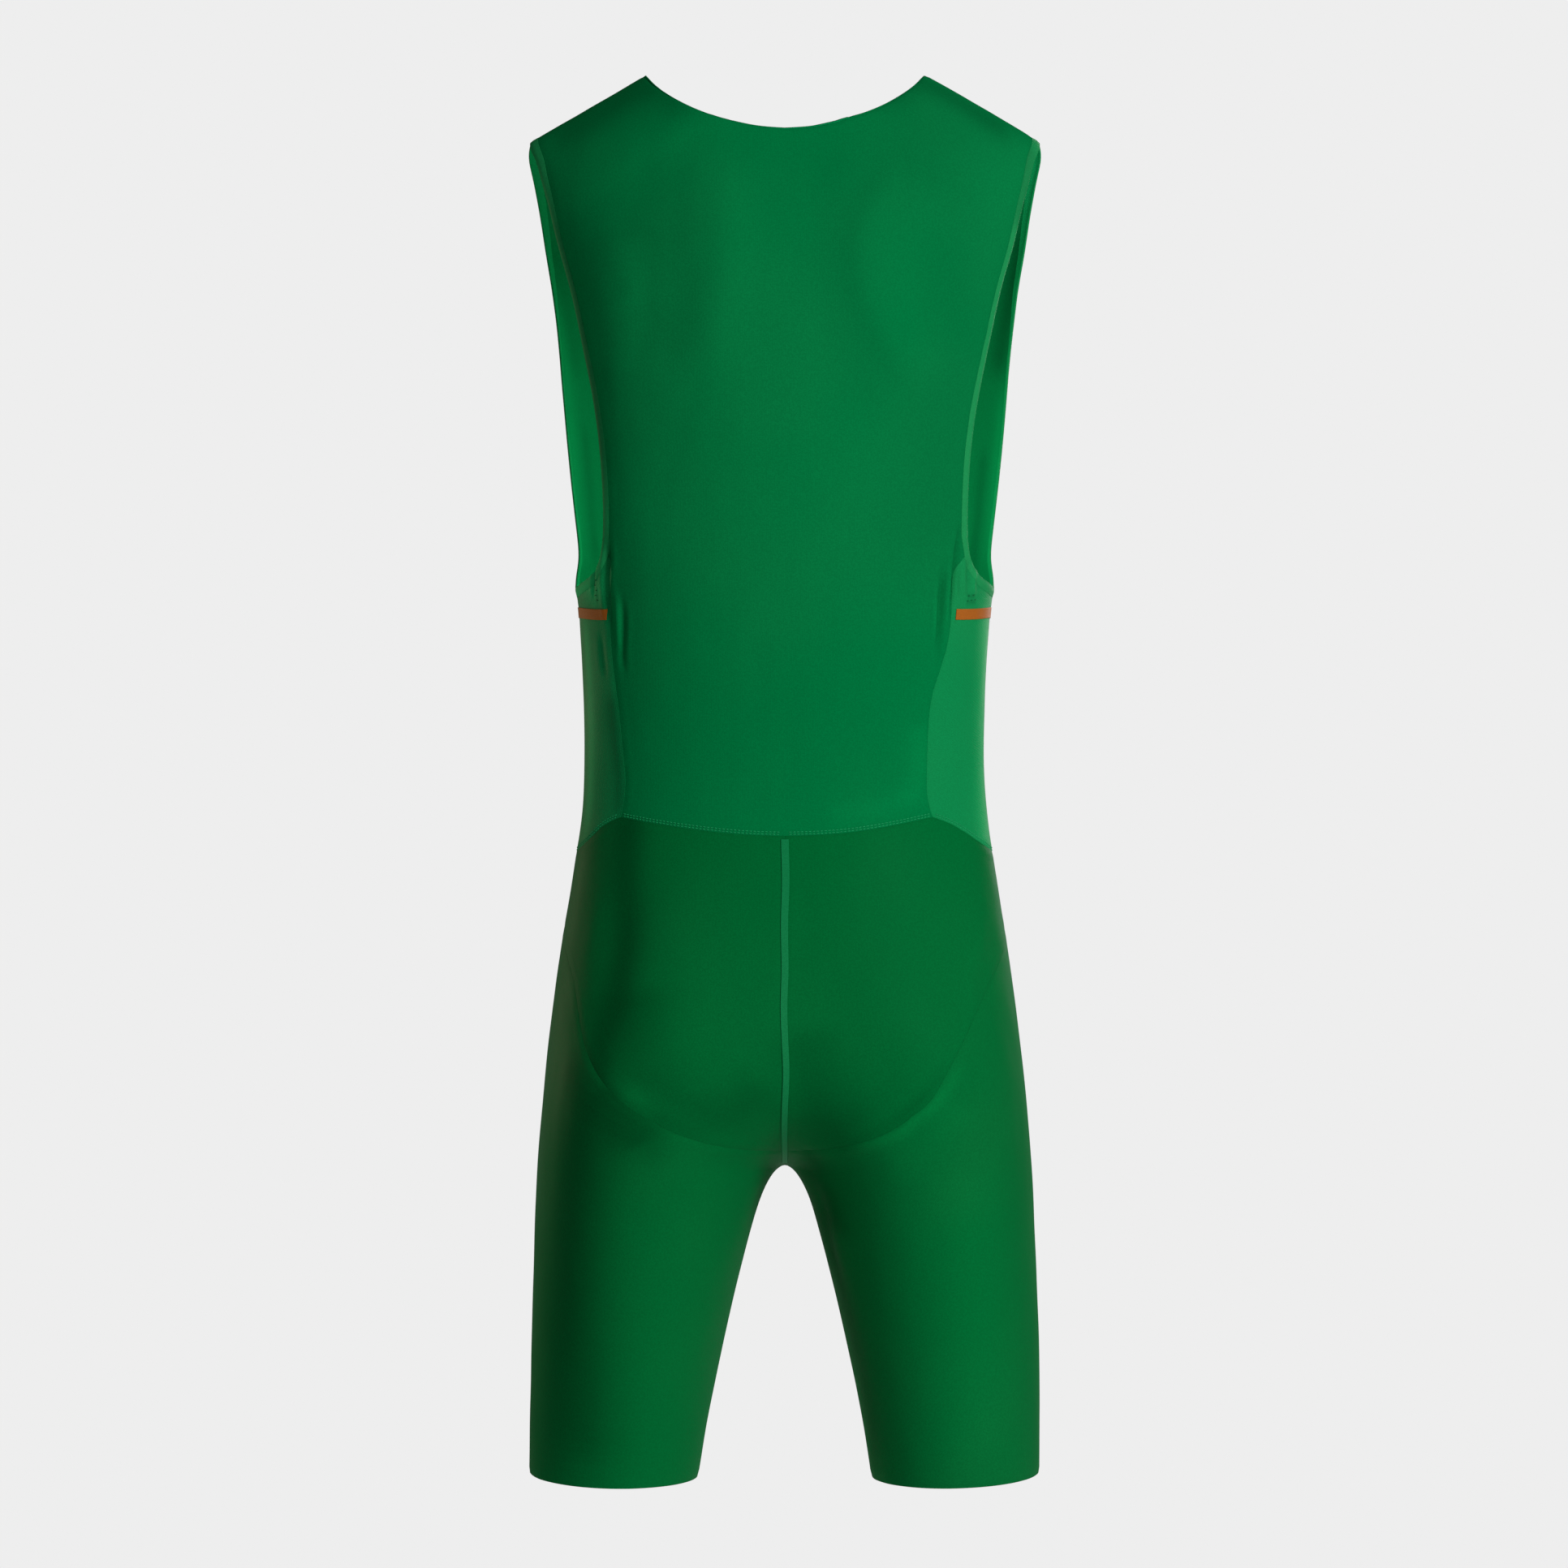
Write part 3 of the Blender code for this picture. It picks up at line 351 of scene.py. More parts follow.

# Hollow along a sewn seam, soft rise beside it, the roll of an open edge, and the width of the painted
# shade along seams and open edges
SEAM_HOLLOW = 0.13
SEAM_HOLLOW_WIDTH = 1.6
SEAM_RISE = 0.12
SEAM_RISE_AT = 5.0
SEAM_RISE_WIDTH = 2.6
PUCKER = 0.16
PUCKER_STEP = 7.0
EDGE_ROLL = 0.5
EDGE_ROLL_WIDTH = 1.8
SEAM_SHADE_WIDTH = 1.4

# Broad soft waves of the cloth and smaller ones between them, from one noise: the ripples are read at
# a place of their own, and its swing is brought to about 1
WAVE = 0.9
WAVE_SIZE = (95, 95, 160)
RIPPLE = 0.16
RIPPLE_SIZE = (18, 18, 34)
RIPPLE_PLACE = 500.0
NOISE_SWING = 1.6

# Stitches: their rows above the waist seam, the shape of each along its length and across, how far
# ahead a stitch takes its direction, and places x and z of those that close each underarm
STITCH_ROWS = (1.1, 2.7)
STITCH_LENGTH = 2.1
STITCH_STEP = 2.7
STITCH_RADIUS = 0.34
STITCH_SIDES = 6
STITCH_SHAPE = ((-1, 0.25), (-0.8, 0.85), (0, 1), (0.8, 0.85), (1, 0.25))
STITCH_END_MARGIN = 2.0
STITCH_LIFT = 0.3
STITCH_BEND = 0.35
STITCH_AHEAD = 0.5
STITCH_SLOPE = 0.2
WAIST_STEPS = 160
UNDERARM_STITCHES = {
    1: ((132.6, -355.5), (131.6, -359), (132.4, -362.5), (131.2, -366), (131.8, -369.5), (130.6, -373)),
    -1: ((127.6, -370), (130.4, -369.2), (126.4, -373.6), (129.2, -373), (132, -372.4)),
}

# Knits: linear colours, yarn steps in millimetres and gloss of each
KNIT_COLUMNS = (
    "color", "shade", "glow", "roughness", "sheen", "sheen_tint", "wale", "course", "bump", "gloss")
KNITS = {
    "upper_knit": ((0.0004, 0.190, 0.052), (0.001, 0.110, 0.030), (0.006, 0.225, 0.064), 0.50, 0.02,
                   (0.26, 0.80, 0.28), 0.9, 0.7, 0.20, 0.0),
    # The inner faces take lighter copies of their knits: painted light for the light that the thin cloth
    # lets through
    "inside_knit_painted_light": ((0.002, 0.250, 0.078), (0.001, 0.160, 0.048), (0.008, 0.280, 0.090), 0.60, 0.03,
                    (0.55, 0.70, 0.25), 0.9, 0.7, 0.20, 0.0),
    "inside_binding_painted_light": ((0.006, 0.400, 0.130), (0.004, 0.260, 0.080), (0.014, 0.440, 0.145), 0.60, 0.03,
                       (0.55, 0.70, 0.25), 0.9, 0.7, 0.20, 0.0),
    "shorts_knit": ((0.0004, 0.145, 0.033), (0.001, 0.080, 0.018), (0.004, 0.172, 0.042), 0.46, 0.035,
                    (0.28, 0.80, 0.26), 0.8, 0.6, 0.18, 0.014),
    # The leg panels take a slightly lighter copy of the shorts knit: a little painted light
    "leg_knit": ((0.0006, 0.148, 0.034), (0.001, 0.084, 0.019), (0.006, 0.172, 0.042), 0.46, 0.035,
                 (0.28, 0.80, 0.26), 0.8, 0.6, 0.18, 0.014),
    "side_mesh": ((0.004, 0.245, 0.072), (0.003, 0.165, 0.045), (0.016, 0.290, 0.090), 0.58, 0.055,
                  (0.70, 0.95, 0.45), 1.5, 1.7, 0.40, 0.045),
    "binding": ((0.010, 0.270, 0.082), (0.006, 0.180, 0.050), (0.026, 0.310, 0.100), 0.50, 0.03,
                (0.65, 0.70, 0.30), 0.7, 0.6, 0.20, 0.008),
    "seam_tape": ((0.006, 0.215, 0.068), (0.004, 0.130, 0.040), (0.016, 0.250, 0.080), 0.44, 0.05,
                  (0.65, 0.70, 0.30), 0.6, 0.9, 0.20, 0.02),
    "side_tape": ((0.390, 0.108, 0.014), (0.240, 0.074, 0.012), (0.480, 0.145, 0.020), 0.52, 0.05,
                  (0.90, 0.60, 0.35), 0.7, 0.9, 0.25, 0.04),
    "dark_thread": ((0.002, 0.090, 0.030), (0.001, 0.060, 0.020), (0.004, 0.120, 0.040), 0.50, 0.03,
                    (0.65, 0.70, 0.35), 0.3, 0.3, 0.30, 0.02),
    "thread": ((0.016, 0.330, 0.120), (0.010, 0.230, 0.080), (0.030, 0.380, 0.140), 0.45, 0.05,
               (0.65, 0.70, 0.35), 0.3, 0.3, 0.30, 0.02),
}

# Lighter clouds and darker specks in every knit: scale, detail and limits of their noise and shares,
# last the share of the painted shade along seams and open edges
CLOUDS = (6.5, 2.0, (0.35, 0.68))
CLOUD_SHARE = 0.35
SPECKS = (900.0, 1.0, (0.40, 0.62))
SPECK_SHARE = 0.22
SPECK_HEIGHT = 0.5
LOOP_SHARE = 0.11
SEAM_SHADE_SHARE = 0.09

# Gloss and bump of every knit, and how far a wave texture turns over each unit of its scale
ROUGHNESS_SPREAD = 0.10
BUMP_DISTANCE = 0.00025
SHEEN_ROUGHNESS = 0.22
SPECULAR_TINT = (0.10, 1.0, 0.45)
RADIANS_OF_WAVE = 20.0

# Camera and backdrop: the width of the photograph is that of the view at the garment, in metres
FILM = 36.0
CAMERA_DISTANCE = 3.0
PHOTO_WIDTH = 1.1117
CAMERA_X = 0.0006
CAMERA_Z = -0.501
BACKDROP = 0.855
WHITE = (1.0, 1.0, 1.0)

# Studio lights: places and targets in metres, powers in watts
LIGHT_COLUMNS = ("name", "place", "target", "width", "height", "power", "color")
LIGHTS = (
    ("key", (-1.80, 2.45, 0.60), (0.0, 0.0, -0.50), 1.0, 1.0, 80.0, (1.0, 0.99, 0.97)),
    ("rim", (2.1, -1.9, -0.3), (0.1, 0.0, -0.6), 1.0, 1.0, 12.0, (1.0, 0.84, 0.52)),
    ("front", (-0.9, -2.8, 0.5), (0.0, 0.0, -0.4), 1.8, 1.8, 70.0, (1.0, 0.99, 0.97)),
    # Light that the thin cloth lets through to its inside, one lamp facing each armhole
    ("inside_left", (0.02, 0.01, -0.28), (1.0, -0.25, -0.28), 0.05, 0.22, 0.155, (0.85, 1.0, 0.85)),
    ("inside_right", (-0.02, 0.01, -0.28), (-1.0, -0.25, -0.28), 0.05, 0.22, 0.175, (0.85, 1.0, 0.85)),
)
WORLD_LIGHT = 0.15

# Floor
FLOOR_Z = -1.6
FLOOR_RADIUS = 2.3
FLOOR_CORNERS = 96
FLOOR_COLORS = ((0.80, 0.80, 0.80), (0.84, 0.84, 0.84))
FLOOR_GRAIN = {"Scale": 60.0, "Detail": 3.0}
FLOOR_ROUGHNESS = 0.8


# The body form

class SmoothCurve:
    """Natural cubic curve through a few rows, read at any place between them."""

    def __init__(self, places, values):
        order = np.argsort(places)
        self.places = np.asarray(places, float)[order]
        self.values = np.asarray(values, float)[order]
        gaps = np.diff(self.places)
        slopes = np.diff(self.values, axis=0) / gaps.reshape((-1,) + (1,) * (self.values.ndim - 1))
        count = len(self.places)
        matrix = np.eye(count)
        bends = np.zeros_like(self.values)
        for i in range(1, count - 1):
            matrix[i, i - 1:i + 2] = gaps[i - 1], 2.0 * (gaps[i - 1] + gaps[i]), gaps[i]
            bends[i] = 6.0 * (slopes[i] - slopes[i - 1])
        self.bends = np.linalg.solve(matrix, bends)

    def __call__(self, place):
        k = int(np.clip(np.searchsorted(self.places, place) - 1, 0, len(self.places) - 2))
        gap = self.places[k + 1] - self.places[k]
        b = (place - self.places[k]) / gap
        a = 1.0 - b
        bend = (a ** 3 - a) * self.bends[k] + (b ** 3 - b) * self.bends[k + 1]
        return a * self.values[k] + b * self.values[k + 1] + bend * gap * gap / 6.0


BODY_CURVE = SmoothCurve([row[0] for row in BODY], [row[1:] for row in BODY])
LEG_SPACE_CURVE = SmoothCurve(*zip(*LEG_SPACE))


def rows_of(table, columns):
    """The rows of a table, each by the names of its columns."""
    return [dict(zip(columns, row)) for row in table]


def smooth_step(x):
    """0 up to 0, 1 from 1 on, and a soft rise between."""
    x = np.clip(x, 0.0, 1.0)
    return x * x * (3.0 - 2.0 * x)


def bump(distance, width):
    """1 at no distance, falling off softly on both sides."""
    return np.exp(-(distance / width) ** 2)


def section(z):
    """Half width, side, depths, powers, leg centre, inner leg, rounding and inner share of t at z."""
    size = dict(zip(BODY_COLUMNS[1:], map(float, BODY_CURVE(z))))
    half_width = size["half_width"] + FLARE * bump(z - FLARE_Z, FLARE_SPREAD)
    share = float(smooth_step((LEGS_BEGIN_Z - z) / (LEGS_BEGIN_Z - CROTCH_Z)))
    rounding = CROTCH_ROUNDING * share
    outer = math.sqrt(half_width ** 2 + rounding ** 2) - rounding
    above = z - CROTCH_Z
    inner = -(CROTCH_SLOPE * above + CROTCH_SPREAD * above ** 2) if above > 0.0 else LEG_SPACE_CURVE(z)
    middle = 0.5 * outer * share if above > 0.0 else 0.5 * (outer + inner)
    depths = (size["back"], size["front"])
    powers = (size["back_power"], size["front_power"])
    return outer, size["side"], depths, powers, middle, inner, rounding, 0.5 * share


def half_ring(z, front):
    """Points of the back or front half of the section at z, from the centre to the side line."""
    outer, side, depths, powers, middle, inner, rounding, inner_share = section(z)
    depth = depths[front]
    power = powers[front]
    turn = np.sin(np.linspace(0.0, 0.5 * math.pi, RING_STEPS))
    x = middle + (outer - middle) * turn
    y = (1.0 - turn ** power).clip(0.0) ** (1.0 / power)
    if middle > 0.0:
        reach = middle - inner
        end = min(middle / reach, 1.0)
        turn = np.sin(np.linspace(math.asin(end), 0.0, RING_STEPS, endpoint=False))
        x = np.concatenate((middle - reach * turn, x))
        y = np.concatenate(((1.0 - turn ** power).clip(0.0) ** (1.0 / power), y))
    x = x.clip(0.0)
    x = np.sqrt(x * x + 2.0 * rounding * x)
    y = side + (depth - side) * y
    lengths = np.concatenate(([0.0], np.cumsum(np.hypot(np.diff(x), np.diff(y)))))
    crest = len(x) - RING_STEPS
    marks = (0.0, lengths[crest], lengths[-1]) if crest else (0.0, lengths[-1])
    shares = np.interp(lengths, marks, (0.0, inner_share, 1.0) if crest else (0.0, 1.0))
    return np.interp(SHARES, shares, x), np.interp(SHARES, shares, y)


# The form at many heights, closer together at the crotch, read by all the pieces
SHARES = np.linspace(0.0, 1.0, RING_STEPS + 1)
HEIGHTS = np.unique(np.round(np.concatenate((
    np.arange(*FORM_HEIGHTS, 1.0),
    CROTCH_Z + CLOSE_ABOVE_CROTCH * np.linspace(0.0, 1.0, CLOSE_HEIGHTS) ** 2)), 4))
RINGS = np.array([[half_ring(z, front) for z in HEIGHTS] for front in (0, 1)])
SIDES = np.array([float(BODY_CURVE(z)[1]) for z in HEIGHTS])


def shoulder_line(x):
    """Height of the shoulder seam at x, carried on inwards over the neck."""
    fall = -SHOULDER_TIP_Z / (SHOULDER_TIP_X - NECK_HALF_WIDTH)
    return -(x - NECK_HALF_WIDTH) * fall


def surface(places):
    """Middle of the cloth at places (t, z) on the wearer's left half, as an array of points."""
    places = np.asarray(places, float)
    t, z = places[..., 0], places[..., 1]
    front = (t > 1.0).astype(int)
    share = np.clip(np.where(front, 2.0 - t, t), 0.0, 1.0) * RING_STEPS
    i = np.minimum(share.astype(int), RING_STEPS - 1)
    a = share - i
    k = np.clip(np.searchsorted(HEIGHTS, z) - 1, 0, len(HEIGHTS) - 2)
    b = (z - HEIGHTS[k]) / (HEIGHTS[k + 1] - HEIGHTS[k])
    x, y = (
        (1 - b) * ((1 - a) * RINGS[front, k, axis, i] + a * RINGS[front, k, axis, i + 1])
        + b * ((1 - a) * RINGS[front, k + 1, axis, i] + a * RINGS[front, k + 1, axis, i + 1])
        for axis in (0, 1))
    side = np.interp(z, HEIGHTS, SIDES)
    rounding = np.where(front, FRONT_SHOULDER_ROUNDING, BACK_SHOULDER_ROUNDING)
    below = np.clip((shoulder_line(x) - z) / rounding, 0.0, 1.0)
    dome = np.sqrt(1.0 - (1.0 - below) ** 2)
    return np.stack((x, side + (y - side) * dome, z), axis=-1)


def place(x, z, front=False):
    """The place (t, z) that lies at distance x from the centre plane."""
    k = int(np.clip(np.searchsorted(HEIGHTS, z) - 1, 0, len(HEIGHTS) - 2))
    b = (z - HEIGHTS[k]) / (HEIGHTS[k + 1] - HEIGHTS[k])
    ring_x = (1 - b) * RINGS[int(front), k, 0] + b * RINGS[int(front), k + 1, 0]
    share = float(np.interp(x, ring_x, SHARES))
    return (2.0 - share if front else share, z)


def places_at(points, front=False):
    """The places (t, z) of points given as x and z."""
    return [place(x, z, front) for x, z in points]


def shoulder_place(x, front=False):
    """The place on the shoulder seam at x."""
    return place(x, shoulder_line(x), front)


# Lines and patches on the form

def lengths_along(line):
    """Distance on the garment from the start of a line to each of its places."""
    steps = np.linalg.norm(np.diff(surface(line), axis=0), axis=1)
    return np.concatenate(([0.0], np.cumsum(steps)))


def spread(places, count=LINE_POINTS):
    """A smooth line through places, with many points evenly numbered along it."""
    places = np.array([tuple(map(float, p)) for p in places])
    lengths = lengths_along(places)
    curve = SmoothCurve(lengths, places)
    return np.array([curve(s) for s in np.linspace(0.0, lengths[-1], count + 1)])


def straight(start, end, count=LINE_POINTS):
    """Places at even steps of t and z between two."""
    steps = np.linspace(0.0, 1.0, count + 1)[:, None]
    return (1.0 - steps) * np.array(start) + steps * np.array(end)


def read(line, marks):
    """Places on a line at fractional point numbers."""
    numbers = np.arange(len(line))
    return np.stack([np.interp(marks, numbers, line[:, k]) for k in (0, 1)], axis=1)


def even_marks(line, count, first=0.0, last=1.0):
    """Point numbers that divide part of a line into stretches of equal length on the garment."""
    lengths = lengths_along(line)
    return np.interp(np.linspace(first, last, count + 1) * lengths[-1], lengths, np.arange(len(line)))


def even(line, count, first=0.0, last=1.0):
    """Places that divide part of a line into stretches of equal length on the garment."""
    return read(line, even_marks(line, count, first, last))


def crowded(line, count, power):
    """Places along a line, closer together towards its first end."""
    marks = even_marks(line, LINE_POINTS)
    shares = np.linspace(0.0, 1.0, LINE_POINTS + 1)
    return read(line, np.interp(np.linspace(0.0, 1.0, count + 1) ** power, shares, marks))


def height_marks(line, heights):
    """Point numbers where a line that climbs or falls all the way has the given heights."""
    order = np.argsort(line[:, 1])
    return np.interp(heights, line[order, 1], np.arange(len(line))[order])


def armhole_heights(bottom, top):
    """Row heights from bottom to top, closer together where the cloth turns over the shoulder."""
    turns = np.linspace(0.0, 0.5 * math.pi, SHOULDER_ROWS + 1)
    crown = top - BACK_SHOULDER_ROUNDING * (1.0 - np.cos(turns))
    wall = np.linspace(bottom, crown[-1], ARMHOLE_ROWS + 1)
    return np.concatenate((wall, crown[::-1][1:]))


def directions(spot):
    """Rates at which the surface moves with t and with z."""
    t, z = spot
    low_t, high_t, low_z, high_z = surface(
        [(t - SMALL_T, z), (t + SMALL_T, z), (t, z - SMALL_Z), (t, z + SMALL_Z)])
    return (high_t - low_t) / (2.0 * SMALL_T), (high_z - low_z) / (2.0 * SMALL_Z)


def move_inward(line, start, end, width):
    """The line at the given width inside an edge, between two known end places."""
    inner = [np.array(start, float)]
    for before, spot, after in zip(line, line[1:-1], line[2:]):
        along = surface(after) - surface(before)
        across, upward = directions(spot)
        inward = np.cross(np.cross(upward, across), along)
        aim = surface(spot) + inward * width / np.linalg.norm(inward)
        for _ in range(APPROACHES):
            short = aim - surface(spot)
            across, upward = directions(spot)
            gram = [[across @ across, across @ upward], [across @ upward, upward @ upward]]
            step = np.linalg.solve(gram, [across @ short, upward @ short])
            spot = spot + np.clip(step, (-LONGEST_T, -LONGEST_Z), (LONGEST_T, LONGEST_Z))
        inner.append(spot)
    inner.append(np.array(end, float))
    return np.array(inner)


def climb(line):
    """Share of a line's rise that it has reached at each place."""
    return (line[:, 1] - line[0, 1]) / (line[-1, 1] - line[0, 1])


def shares_across(line):
    """Share of a line's turn in t that it has reached at each place."""
    return (line[:, 0] - line[0, 0]) / (line[-1, 0] - line[0, 0])


def patch(bottom, top, left, right, knot=None):
    """Rows of places that fill the cloth between four lines, rows from bottom to top.

    Each row rises smoothly from its height on the left line to that on the right line. With a knot,
    the rows crowd at that row only near the sides, and lie evenly between.
    """
    left_climb, right_climb = climb(left), climb(right)
    s = 0.5 * (shares_across(bottom) + shares_across(top))
    grid = []
    for j in range(len(left)):
        v = (1 - s) * left_climb[j] + s * right_climb[j]
        if knot:
            knot_z = left[knot, 1] + (right[knot, 1] - left[knot, 1]) * smooth_step(s)
            knot_climb = (knot_z - bottom[:, 1]) / (top[:, 1] - bottom[:, 1])
            v = relaxed_climb(j, s, knot, knot_climb, left_climb, right_climb)
        row = (1 - v)[:, None] * bottom + v[:, None] * top
        left_t = np.interp(v, left_climb, left[:, 0])
        right_t = np.interp(v, right_climb, right[:, 0])
        row[:, 0] += (1 - s) * (left_t - (1 - v) * bottom[0, 0] - v * top[0, 0])
        row[:, 0] += s * (right_t - (1 - v) * bottom[-1, 0] - v * top[-1, 0])
        grid.append(row)
    return np.array(grid)


def relaxed_climb(j, s, knot, knot_climb, left_climb, right_climb):
    """Climb of row j at s across, even below and above the knot row except near the sides."""

    def even_climb(climb_at_knot):
        if j <= knot:
            return climb_at_knot * j / knot
        return climb_at_knot + (1.0 - climb_at_knot) * (j - knot) / (len(left_climb) - 1 - knot)

    return (even_climb(knot_climb)
            + (1 - s) ** SIDE_FADE * (left_climb[j] - even_climb(left_climb[knot]))
            + s ** SIDE_FADE * (right_climb[j] - even_climb(right_climb[knot])))


# The seam lines and the grids of the pieces

def armhole_lines():
    """Outer edge of the armhole and the seam of its band, from the back shoulder round to the front."""
    front_top = places_at(ARMHOLE_FRONT_TOP + ((SHOULDER_TIP_X, SHOULDER_TIP_Z),), True)
    outer = spread(places_at(ARMHOLE_BACK_EDGE) + list(ARMHOLE_UNDERARM) + front_top)
    slope = math.hypot(SHOULDER_TIP_X - NECK_HALF_WIDTH, SHOULDER_TIP_Z)
    inner_x = SHOULDER_TIP_X - BAND_WIDTH * (SHOULDER_TIP_X - NECK_HALF_WIDTH) / slope
    ends = shoulder_place(inner_x), shoulder_place(inner_x, True)
    return outer, move_inward(outer, *ends, BAND_WIDTH)


def armhole_seams():
    """Band seam beside the back, under the arm and beside the front, and the edge at all its marks."""
    outer, inner = armhole_lines()
    half = len(inner) // 2
    lowest = half + int(np.argmin(inner[half:, 1]))
    top_z = inner[0][1]
    back_marks = height_marks(inner[:half], armhole_heights(TOP_OF_BACK_SIDE_SEAM_Z, top_z))
    front_marks = lowest + height_marks(
        inner[lowest:], armhole_heights(TOP_OF_FRONT_SIDE_SEAM_Z, top_z))
    under_numbers = np.linspace(back_marks[0], front_marks[0], LINE_POINTS + 1)
    under_steps = even_marks(read(inner, under_numbers), 2 * HALF_SIDE_COLUMNS)
    under_marks = np.interp(under_steps, np.arange(LINE_POINTS + 1), under_numbers)
    marks = np.concatenate((back_marks[::-1], under_marks[1:], front_marks[1:]))
    return [read(*line) for line in (
        (inner, back_marks), (inner, under_marks), (inner, front_marks), (inner, marks), (outer, marks))]


def centre_rows(t, bottom, top):
    """Row heights up the centre line that answer the rows beside the side seam and the armhole."""
    middle = TOP_OF_BACK_SIDE_SEAM_Z
    side_rows = ROWS_BELOW_TAPE + TAPE_ROWS + ROWS_ABOVE_TAPE
    heights = np.concatenate((
        np.linspace(bottom, middle, side_rows + 1), armhole_heights(middle, top)[1:]))
    return np.array([(t, z) for z in heights])


def waist_lines(half_side):
    """The waist seam across the back, round the side in two halves, and across the front."""
    back = spread(places_at(WAIST_BACK[half_side]))
    back = np.concatenate((even(back, NECK_COLUMNS, 0.0, NECK_SHARE_OF_WAIST),
                           even(back, SHOULDER_COLUMNS, NECK_SHARE_OF_WAIST, 1.0)[1:]))
    low = (1.0, WAIST_SIDE_END[1])
    round_side = spread(places_at(WAIST_BACK_SIDE[half_side]) + [low]
                        + places_at(WAIST_FRONT_SIDE[::-1], True))
    middle = int(np.argmin(np.abs(round_side[:, 0] - 1.0)))
    round_side[middle] = low
    side_back = even(round_side[:middle + 1], HALF_SIDE_COLUMNS)
    side_front = even(round_side[middle:], HALF_SIDE_COLUMNS)
    front = spread(places_at(WAIST_FRONT, True))
    share = 1.0 - NECK_SHARE_OF_WAIST
    front = np.concatenate((even(front, SHOULDER_COLUMNS, 0.0, share),
                            even(front, NECK_COLUMNS, share, 1.0)[1:]))
    return back, side_back, side_front, front


def seam_beside_tape(line, rise):
    """Places on a side seam: rows below the orange tape, rows under it, rows above."""
    top = SIDE_TAPE_TOP_Z + rise
    low, high = height_marks(line, (top - SIDE_TAPE_HEIGHT, top))
    below = np.linspace(0.0, low, ROWS_BELOW_TAPE + 1)
    under = np.linspace(low, high, TAPE_ROWS + 1)
    above = np.linspace(high, len(line) - 1, ROWS_ABOVE_TAPE + 1)
    return read(line, np.concatenate((below, under[1:], above[1:])))


def tape_edge(start, end, shares):
    """A line across the side panel, level at the back and rising to its front end at the side line."""
    t = start[0] + shares * (end[0] - start[0])
    z = start[1] + (end[1] - start[1]) * smooth_step((t - start[0]) / (1.0 - start[0]))
    return np.stack((t, z), axis=1)


def side_panel_grid(waist, under_arm, back_seam, front_seam):
    """The side panel in three parts: below the orange tape, under it, and above it."""
    shares = 0.5 * (shares_across(waist) + shares_across(under_arm))
    low, high = ROWS_BELOW_TAPE, ROWS_BELOW_TAPE + TAPE_ROWS
    bottom_edge = tape_edge(back_seam[low], front_seam[low], shares)
    top_edge = tape_edge(back_seam[high], front_seam[high], shares)
    below = patch(waist, bottom_edge, back_seam[:low + 1], front_seam[:low + 1])
    steps = np.linspace(0.0, 1.0, TAPE_ROWS + 1)[1:-1, None, None]
    under = (1.0 - steps) * bottom_edge + steps * top_edge
    above = patch(top_edge, under_arm, back_seam[high:], front_seam[high:])
    return np.concatenate((below, under, above))


def shoulder_seam(outer_place, front):
    """Places along the shoulder seam from the neck to the band."""
    steps = np.linspace(NECK_HALF_WIDTH, surface(outer_place)[0], SHOULDER_COLUMNS + 1)
    return np.array([shoulder_place(x, front) for x in steps])


def hem_line():
    """The hem of one leg, from the inner leg round the back to the inner leg again."""
    t = np.linspace(0.0, 2.0, LINE_POINTS + 1)
    x = surface(np.stack((t, np.full_like(t, HEM_Z)), axis=1))[:, 0]
    return np.stack((t, HEM_Z + HEM_TILT * (x - HEM_MIDDLE_X)), axis=1)


def seat_seam_places(side):
    """The seat seam, which sits a little further out on the wearer's left than on the right."""
    moved = []
    for x, z in SEAT_SEAM:
        shift = SEAT_SEAM_SHIFT[side] * bump(z - SEAT_SEAM_SHIFT_Z, SEAT_SEAM_SHIFT_SPREAD)
        moved.append(place(x + shift, z))
    return spread(moved + list(SEAT_SEAM_AT_SIDE))


